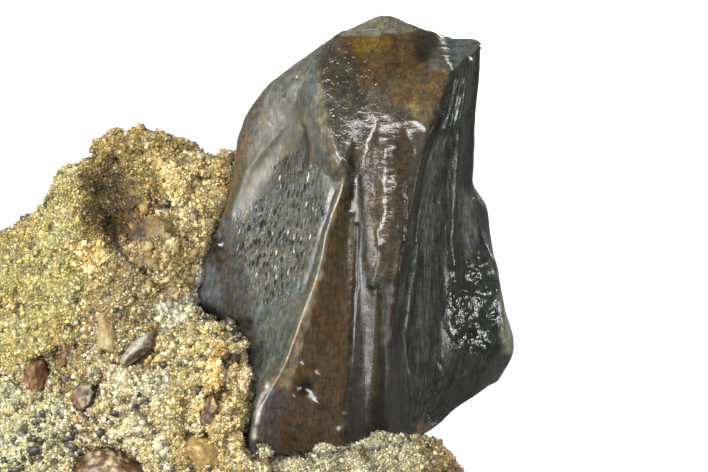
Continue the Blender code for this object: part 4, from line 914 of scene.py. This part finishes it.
CHIP_STAINS_AND_HIGHLIGHT = (  # (colour, strength, softness, outline): ends and edges of another colour, and one painted highlight
    ("20130b", 0.9, 0.25, "-11.7,1.7 -10.8,1.8 -10.7,0.3 -11.1,-0.4 -11.8,-0.3"),
    # Painted highlight: the bone splinter's upper-left edge is painted pale.
    ("8f8a7c", 0.8, 0.12, "-12.6,-5.7 -10.5,-3.6 -10.2,-4 -12.2,-6"),
    ("3c180c", 0.9, 0.2, "-10.5,-4 -9.3,-3.7 -9.3,-5.1 -10.3,-5.3"),
    ("3c160c", 0.8, 0.2, "-16.4,-5.3 -15.5,-5.4 -15.5,-6.3 -16.2,-6.3"),
    ("120c08", 0.8, 0.2, "-13.9,-6.5 -13.1,-6.5 -13,-7.5 -13.8,-7.4"),
    ("968c68", 0.8, 0.2, "-13.4,-4.2 -12.7,-4.4 -12.7,-6 -13.4,-6"),
)


def broken(points, flats, seed):
    """The points with that many flats cut at random on the side that shows."""
    dice = np.random.default_rng(seed)
    middle = points.mean(axis=0)
    for _ in range(flats):
        way = dice.normal(size=3)
        way[1] = -abs(way[1])
        way /= np.linalg.norm(way)
        reach = (points - middle) @ way
        over = np.clip(reach - dice.uniform(0.55, 0.85) * reach.max(), 0, None)
        points = points - 0.92 * over[:, None] * way
    return points


chips = []
for number, (node, name, slot, first, second, flats, lump, rise, rough) in enumerate(CHIP_LOOKS):
    chip = merged_copy(name, node)
    refined(chip, 3)
    put(chip.data, values(chip.data) + values(chip.data, "normals") * SWELL * MM)
    put(chip.data, broken(values(chip.data), flats, 60 + number))
    co, normal = values(chip.data), values(chip.data, "normals")
    place = face_of(co)
    wear = rise * clouds(place, lump, 41, 3) + 0.02 * clouds(place, 0.12, 43, 2)
    put(chip.data, co + normal * wear[:, None] * MM)
    blend = np.clip(0.5 + 1.5 * clouds(place, lump * 1.5, 42, 3), 0, 1)[:, None]
    tone = np.array(linear(first)) * (1 - blend) + np.array(linear(second)) * blend
    wander = wandering(place, 0.12, 0.5, 44, 3)
    for tint, strength, soft, outline in CHIP_STAINS_AND_HIGHLIGHT:
        tone = towards(tone, tint, strength * inside(wander, outline, soft))
    dust = np.clip(2.2 * clouds(place, 0.35, 46, 4) + 0.05, 0, 0.8)
    tone += (stone_tint(place) - tone) * dust[:, None]
    store(chip.data, "tone", np.clip(tone, 0, 1))
    chip.data.shade_smooth()
    dull_mineral(chip, name, rough, 6, 5.0, 0.7, 0.5, 1.4, 0.05, 0.8)
    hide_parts(node)
    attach(chip, "root")
    chips.append(chip)
    print(name, "has", triangles(chip), "triangles")

# %% [markdown]
# The block is sandstone: sand grains held by a softer cement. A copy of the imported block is
# remeshed into small even faces, because its flat facets give noise too few points to move.
# The back and the foot, which nobody sees closely, keep fewer of them.

# %% The stone, remeshed
STONE_TRIANGLES = 190000
stone = merged_copy("sandstone_block", "sandstone_matrix")
even = stone.modifiers.new("even", "REMESH")
even.mode = "VOXEL"
even.voxel_size = 0.15 * MM
soften = stone.modifiers.new("soften", "SMOOTH")
soften.factor = 0.5
soften.iterations = 8
settle(stone)
co = values(stone.data)
hidden = np.clip(face_of(co)[:, 2] / 6 - 0.2, 0, 1)
thinned(stone, np.maximum(hidden, co[:, 2] < 0.1 * MM), STONE_TRIANGLES)
print("the stone has", triangles(stone), "triangles")

# %% [markdown]
# The stone's surface is weathered: knobs and steps, cracks, and thin channels. Where the
# solid keeps clear of the crown for the sake of the model, the real stone touches it, so the
# stone is drawn up to the enamel again, and it laps over the rims of the pebbles.

# %% The stone, weathered
REACH = 0.75  # mm from the enamel, within which the stone is drawn up to it
DEEPEST = 1.2  # mm under the enamel, from which a point is still drawn out


def nearest(targets, points, reach):
    """Distance in mm from each point to the objects' surfaces, where closer than that reach."""
    distance = np.full(len(points), np.inf)
    for target in targets:
        tree = BVHTree.FromPolygons(
            [v.co for v in target.data.vertices], [f.vertices for f in target.data.polygons]
        )
        corners = values(target.data)
        low, high = corners.min(axis=0) - reach * MM, corners.max(axis=0) + reach * MM
        for index in np.flatnonzero(((points > low) & (points < high)).all(axis=1)):
            hit = tree.find_nearest(Vector(points[index]), reach * MM)
            if hit[0]:
                distance[index] = min(distance[index], hit[3] / MM)
    return distance


co, normal = values(stone.data), values(stone.data, "normals")
place = face_of(co)
foot = np.clip(1 - co[:, 2] / (0.5 * MM), 0, 1)
rough = 0.26 * clouds(place, 1.7, 21, 2) + 0.20 * clouds(place, 0.8, 22, 2)
rough += 0.24 * np.clip(clouds(place, (2.4, 1.6, 2.4), 54, 3) * 7, -1, 1)
for deep, width, _, line in CRACKS_AND_SHADOW_LINES:
    rough -= deep * near(place[:, :2], line, width) * np.clip(1.5 - place[:, 2] / 8, 0, 1)
rough -= 0.20 * np.clip(np.abs(clouds(place, 1.1, 23)) * -6 + 1, 0, 1)
rough += 0.06 * clouds(place, 0.3, 24)
lap = np.clip(1 - nearest(chips, co, 0.5) / 0.5, 0, 1)
rough += lap * (0.16 + 0.35 * clouds(place, 0.6, 25, 2))
co = co + normal * (rough * (1 - foot))[:, None] * MM
crown_surface = BVHTree.FromPolygons(
    [v.co for v in crown.data.vertices], [f.vertices for f in crown.data.polygons]
)
closeness = np.zeros(len(co))
low, high = (np.array(v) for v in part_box("tooth"))
for index in np.flatnonzero(((co > low - MM) & (co < high + MM)).all(axis=1)):
    at = Vector(co[index])
    hit, hit_normal, _, distance = crown_surface.find_nearest(at)
    under = (at - hit).dot(hit_normal) < 0 and distance < DEEPEST * MM
    if under or distance < REACH * MM:
        pull = 1.0 if under else min(1.0, 2.0 * (1 - distance / (REACH * MM)))
        co[index] = at.lerp(hit + hit_normal * 0.03 * MM, pull)
        closeness[index] = pull
co[:, 2] = np.maximum(co[:, 2], 0)
co[foot > 0.97, 2] = 0
put(stone.data, co)
stone.data.shade_smooth()
print("drawn up to the crown:", int((closeness > 0).sum()), "points")

# %% [markdown]
# Iron cement is earthy and has no gloss at all. It is painted darker in the gap beside the crown,
# as painted shade.
# The stone also stores where it carries sand: not on its flat foot, and not on the enamel.

# %% Iron cement
place = face_of(co)
colour = stone_tint(place)
# Painted shade: the cement is painted darker where it is drawn up close to the crown.
colour *= (1 - 0.6 * np.clip(closeness * 3 - 1.6, 0, 1))[:, None]
store(stone.data, "tone", np.clip(colour, 0, 1))
sandy = np.where((closeness < 0.97) & (foot < 0.6), 1.0, 0.0)
store(stone.data, "sandy", sandy)
dull_mineral(stone, "iron_cement", 0.95, 6, 4.0, 0.7, 0.45, 1.15, 0.06, 0.8)
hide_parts("sandstone_matrix")
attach(stone, "root")
print("sand covers", round(100 * sandy.mean()), "% of the stone's points")

# %% [markdown]
# The sand is modelled grain by grain. Geometry Nodes scatters points over the block, no two
# closer than a grain, and puts an angular grain on each, turned and stretched at random.
# Each mineral is a piece of its own: a point's mineral is picked by chance. A grain starts
# as a block of twelve triangles, because there are tens of thousands of them.

# %% Sand, scattered
MOST_GRAINS = 2.4e8  # for each square metre, before those that lie too close are dropped
scatter = bpy.data.node_groups.new("scatter_sand", "GeometryNodeTree")
for name, kind in (
    ("Surface", "Geometry"), ("Mineral", "Int"), ("Last mineral", "Int"), ("Spacing", "Float"),
    ("Width", "Float"),
):
    scatter.interface.new_socket(name, in_out="INPUT", socket_type="NodeSocket" + kind)
scatter.interface.new_socket("Sand", in_out="OUTPUT", socket_type="NodeSocketGeometry")
source = add(scatter, "NodeGroupInput").outputs
dice = {}
for name, kind, first, low, high, seed, output in (
    ("mineral", "INT", 4, 0, source["Last mineral"], 3, 2),
    ("size", "FLOAT", 2, 0.0, 1.0, 4, 1),
    ("stretch", "FLOAT_VECTOR", 0, (0.6, 0.6, 0.6), (1.4, 1.2, 1.0), 1, 0),
    ("turn", "FLOAT_VECTOR", 0, (0, 0, 0), (6.28, 6.28, 6.28), 2, 0),
    ("knock", "FLOAT_VECTOR", 0, (-0.28,) * 3, (0.28,) * 3, source["Mineral"], 0),
):
    dice[name] = add(
        scatter, "FunctionNodeRandomValue", {first: low, first + 1: high, "Seed": seed},
        data_type=kind,
    ).outputs[output]
sandy_here = add(
    scatter, "GeometryNodeInputNamedAttribute", {"Name": "sandy"}, data_type="FLOAT"
).outputs["Attribute"]
points = add(
    scatter, "GeometryNodeDistributePointsOnFaces",
    {"Mesh": source["Surface"], "Distance Min": source["Spacing"], "Density Max": MOST_GRAINS,
     "Density Factor": sandy_here, "Seed": 5},
    distribute_method="POISSON",
).outputs["Points"]
picked = add(
    scatter, "FunctionNodeCompare", {2: dice["mineral"], 3: source["Mineral"]},
    data_type="INT", operation="EQUAL",
).outputs["Result"]
rare = add(scatter, "ShaderNodeMath", {0: dice["size"], 1: 5.0}, operation="POWER").outputs[0]
size = add(
    scatter, "ShaderNodeMath", {0: rare, 1: 1.1, 2: 0.8}, operation="MULTIPLY_ADD"
).outputs[0]
sized = dice["stretch"]
for factor in (size, source["Width"]):
    sized = add(
        scatter, "ShaderNodeVectorMath", {0: sized, "Scale": factor}, operation="SCALE"
    ).outputs["Vector"]
block = add(scatter, "GeometryNodeMeshCube", {"Size": (1, 1, 1)}).outputs["Mesh"]
angular = add(
    scatter, "GeometryNodeSetPosition", {"Geometry": block, "Offset": dice["knock"]}
).outputs[0]
grains = add(
    scatter, "GeometryNodeInstanceOnPoints",
    {"Points": points, "Selection": picked, "Instance": angular, "Rotation": dice["turn"],
     "Scale": sized},
).outputs["Instances"]
real = add(scatter, "GeometryNodeRealizeInstances", {"Geometry": grains}).outputs["Geometry"]
add(scatter, "NodeGroupOutput", {"Sand": real})
SOCKETS = {item.name: item.identifier for item in scatter.interface.items_tree}


def sand(name, mineral, last, spacing, width, share):
    """Grains over the stone as one object, and each grain's middle."""
    made = bpy.data.objects.new(name, stone.data.copy())
    bpy.context.scene.collection.objects.link(made)
    if share is not None:
        made.data.attributes.remove(made.data.attributes["sandy"])
        store(made.data, "sandy", share)
    spread = made.modifiers.new("scatter", "NODES")
    spread.node_group = scatter
    spread[SOCKETS["Mineral"]] = mineral
    spread[SOCKETS["Last mineral"]] = last
    spread[SOCKETS["Spacing"]] = spacing * MM
    spread[SOCKETS["Width"]] = width * MM
    settle(made)
    for layer in [a.name for a in made.data.attributes if not a.is_required]:
        if not layer.startswith("."):
            made.data.attributes.remove(made.data.attributes[layer])
    co = values(made.data)
    co[:, 2] = np.maximum(co[:, 2], 0)
    put(made.data, co)
    return made, co.reshape(-1, 8, 3).mean(axis=1)


print("the sand scatter has", len(scatter.nodes), "nodes")

# %% [markdown]
# Coarse grains lie among the fine ones: black ironstone in clusters, lumps of white quartz,
# and ochre grains in the brown hollow. Each has a share of the stone's points to grow from.

# %% Where coarse grains lie
BLACK_CLUSTERS = (  # (share of places taken, outline)
    (0.34, "-17.2,-7.4 -15.6,-7.6 -15.2,-9 -16,-10.4 -17.4,-10"),
    (0.3, "-18,-9.5 -15.8,-9.8 -15.6,-11.2 -18,-11.2"),
    (0.25, "-15.4,-6.4 -14.4,-6.6 -14.2,-8.4 -15.4,-8.2"),
    (0.2, "-14.8,-8.6 -12.6,-8 -11.8,-10.8 -14.6,-11.2"),
    (0.6, "-11.3,-7.1 -10.6,-7.1 -10.6,-7.8 -11.3,-7.8"),
    (0.8, "-6.5,-3.8 -6,-3.8 -6,-4.7 -6.4,-4.8"),
    (0.8, "-6.7,-5.2 -6,-5.2 -6,-5.9 -6.7,-5.9"),
    (0.7, "-10.5,2.5 -9.8,2.4 -9.9,1.8 -10.5,1.9"),
    (0.1, "-9.6,5.2 -6.4,5 -6.4,3.4 -9,3.2"),
)
WHITE_LUMPS = (
    (0.8, "-17.9,-3.7 -17.3,-3.7 -17.4,-4.4 -17.9,-4.4"),
    (0.8, "-14.1,-2 -13.6,-2.1 -13.7,-2.6 -14.1,-2.6"),
    (0.8, "-11.4,-8.5 -10.7,-8.6 -10.7,-9.5 -11.2,-9.4"),
    (0.8, "-10.5,-9.1 -9.8,-9.2 -9.9,-10 -10.5,-9.9"),
    (0.5, "-10.4,-2.8 -9,-2.6 -8.8,-3.4 -10,-4"),
)
COARSE = "-11.5,1.5 -9.5,4.8 -6.4,5 -7.6,1 -8.4,-2.8 -11,-2.6"
place = face_of(values(stone.data))
front = np.clip(1.5 - place[:, 2] / 6, 0, 1)
black = 0.02 * sandy * np.clip(clouds(place, 2.5, 47, 2) + 0.4, 0, 1)
white = 0.002 * sandy
coarse = 0.008 * sandy + 0.30 * inside(place[:, :2], COARSE, 0.6) * front
for share, outline in BLACK_CLUSTERS:
    black += share * inside(place[:, :2], outline, 0.15) * front
for share, outline in WHITE_LUMPS:
    white += share * inside(place[:, :2], outline, 0.10) * front
print("coarse shares", [round(float(s.mean()), 4) for s in (black, coarse, white)])

# %% [markdown]
# Quartz is clear to white and glassy, feldspar is cream and duller, iron-stained grains are
# tan to orange. Each takes some of the cement's tint, less of it where the stone is freshly
# broken, and grains that lie close to the crown are in its shade.

# %% Sand, by mineral
FRESH = "-14.5,-3.5 -9.4,-2.2 -5.6,-3.4 -5.2,-11.6 -19,-11.6 -17.5,-7 -14.5,-6.2"
# (name, mineral, last, spacing, width, own colour, its share, roughness, spread, where)
MINERAL_LOOKS = (
    ("quartz_sand", 0, 4, 0.120, 0.125, "b0aca0", 0.50, 0.3, 0.35, None),
    ("feldspar_sand", 1, 4, 0.120, 0.125, "a29876", 0.40, 0.6, 0.30, None),
    ("tan_sand", 2, 4, 0.120, 0.125, "86683e", 0.35, 0.65, 0.35, None),
    ("ochre_sand", 3, 4, 0.120, 0.125, "7c5424", 0.30, 0.7, 0.40, None),
    ("brown_sand", 4, 4, 0.120, 0.125, "2c2016", 0.55, 0.6, 0.50, None),
    ("black_ironstone_sand", 0, 0, 0.24, 0.27, "15171b", 0.90, 0.4, 0.45, black),
    ("coarse_ochre_sand", 0, 0, 0.22, 0.24, "665032", 0.60, 0.7, 0.40, coarse),
    ("white_quartz_sand", 0, 0, 0.30, 0.32, "98937e", 0.75, 0.5, 0.15, white),
)
SHADE = 0.4  # mm from the crown, within which grains are darker
chance = np.random.default_rng(7)
for name, mineral, last, spacing, width, own, share, rough, spread, taken in MINERAL_LOOKS:
    piece, middles = sand(name, mineral, last, spacing, width, taken)
    place = face_of(middles)
    tone = stone_tint(place)
    fresh = inside(place[:, :2], FRESH, 1.0) * np.clip(1.5 - place[:, 2] / 6, 0, 1)
    dim, part = np.ones(len(tone)), np.full(len(tone), share)
    if taken is None:
        # Grains are dimmed where the cement's tint is dark, so they take on its painted shade as
        # well as its dark colours.
        dim = np.clip(tone.mean(axis=1) / 0.10, 0.25, 1)
        part = share * (0.5 + 0.5 * fresh) * dim
    tone = towards(tone, own, part) * dim[:, None]
    tone *= np.clip(nearest([crown], middles, SHADE) / SHADE, 0.2, 1)[:, None]
    tone *= np.exp(chance.normal(0.12, spread, len(tone)))[:, None]
    store(piece.data, "tone", np.repeat(np.clip(tone, 0, 0.95), 8, axis=0))
    dull_mineral(piece, name, rough, 16, 3.0, 0.5, 0.7, 1.2, 0.02, 0.7)
    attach(piece, "root")
    print(name, "has", len(middles), "grains,", triangles(piece), "triangles")

# %% [markdown]
# The specimen stands on an opal sheet that is lit from below, so that shadows stay pale. It
# isn't mirrored in the enamel: its light would lie over the dark crown as a grey haze.

# %% The floor
bm = bmesh.new()
bmesh.ops.create_grid(bm, x_segments=1, y_segments=1, size=0.6)
mesh = bpy.data.meshes.new("floor")
bm.to_mesh(mesh)
bm.free()
floor = bpy.data.objects.new("floor", mesh)
bpy.context.scene.collection.objects.link(floor)
sheet, tree, shader = new_material("lit_opal_sheet")  # white, even, without any gloss
shader.inputs["Base Color"].default_value = (0.1, 0.1, 0.1, 1)
shader.inputs["Roughness"].default_value = 0.9
shader.inputs["Emission Color"].default_value = (1, 1, 1, 1)
shader.inputs["Emission Strength"].default_value = 0.95
floor.data.materials.append(sheet)
floor.visible_glossy = False
floor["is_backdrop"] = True
print("the floor is", round(floor.dimensions.x, 2), "m wide")

# %% [markdown]
# Five softboxes light it in a pale studio: a long one above the front draws silver on the
# swelling, a key and a small fill stand at the left, a thin strip edges the right face, and
# a large one lights the back.

# %% The lights
SOFTBOXES = (  # (name, place in the face frame in mm, width mm, height mm, watts)
    ("front_top", (-92, 100, -222), 440, 52, 2.0),
    ("left_key", (-198, 30, -150), 60, 120, 0.5),
    ("left_side", (-260, -8, -5), 40, 56, 0.14),
    ("right_strip", (266, -10, -47), 16, 60, 0.13),
    ("back_fill", (90, 150, 270), 300, 120, 1.6),
)
for name, stand, width, tall, watts in SOFTBOXES:
    lamp = bpy.data.lights.new(name, "AREA")
    lamp.shape = "RECTANGLE"
    lamp.size, lamp.size_y = width * MM, tall * MM
    lamp.energy = watts
    softbox = bpy.data.objects.new(name, lamp)
    softbox.location = world_of(*stand)
    softbox.rotation_euler = (FACE_CENTRE - softbox.location).to_track_quat("-Z", "Y").to_euler()
    bpy.context.scene.collection.objects.link(softbox)
world = bpy.data.worlds.new("studio")
bpy.context.scene.world = world
world.use_nodes = True
backdrop = world.node_tree.nodes["Background"]
backdrop.inputs["Color"].default_value = (1, 1, 1, 1)
backdrop.inputs["Strength"].default_value = 0.22
print("lit by", len(SOFTBOXES), "softboxes")

# %% [markdown]
# Last, the visual model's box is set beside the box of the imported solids.

# %% Sizes
boxes = {
    "cad": [list(corner) for corner in cad_box],
    "visual": [list(corner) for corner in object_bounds()],
}
for name, (low, high) in boxes.items():
    print(name, [round(v / MM, 2) for v in low], [round(v / MM, 2) for v in high])
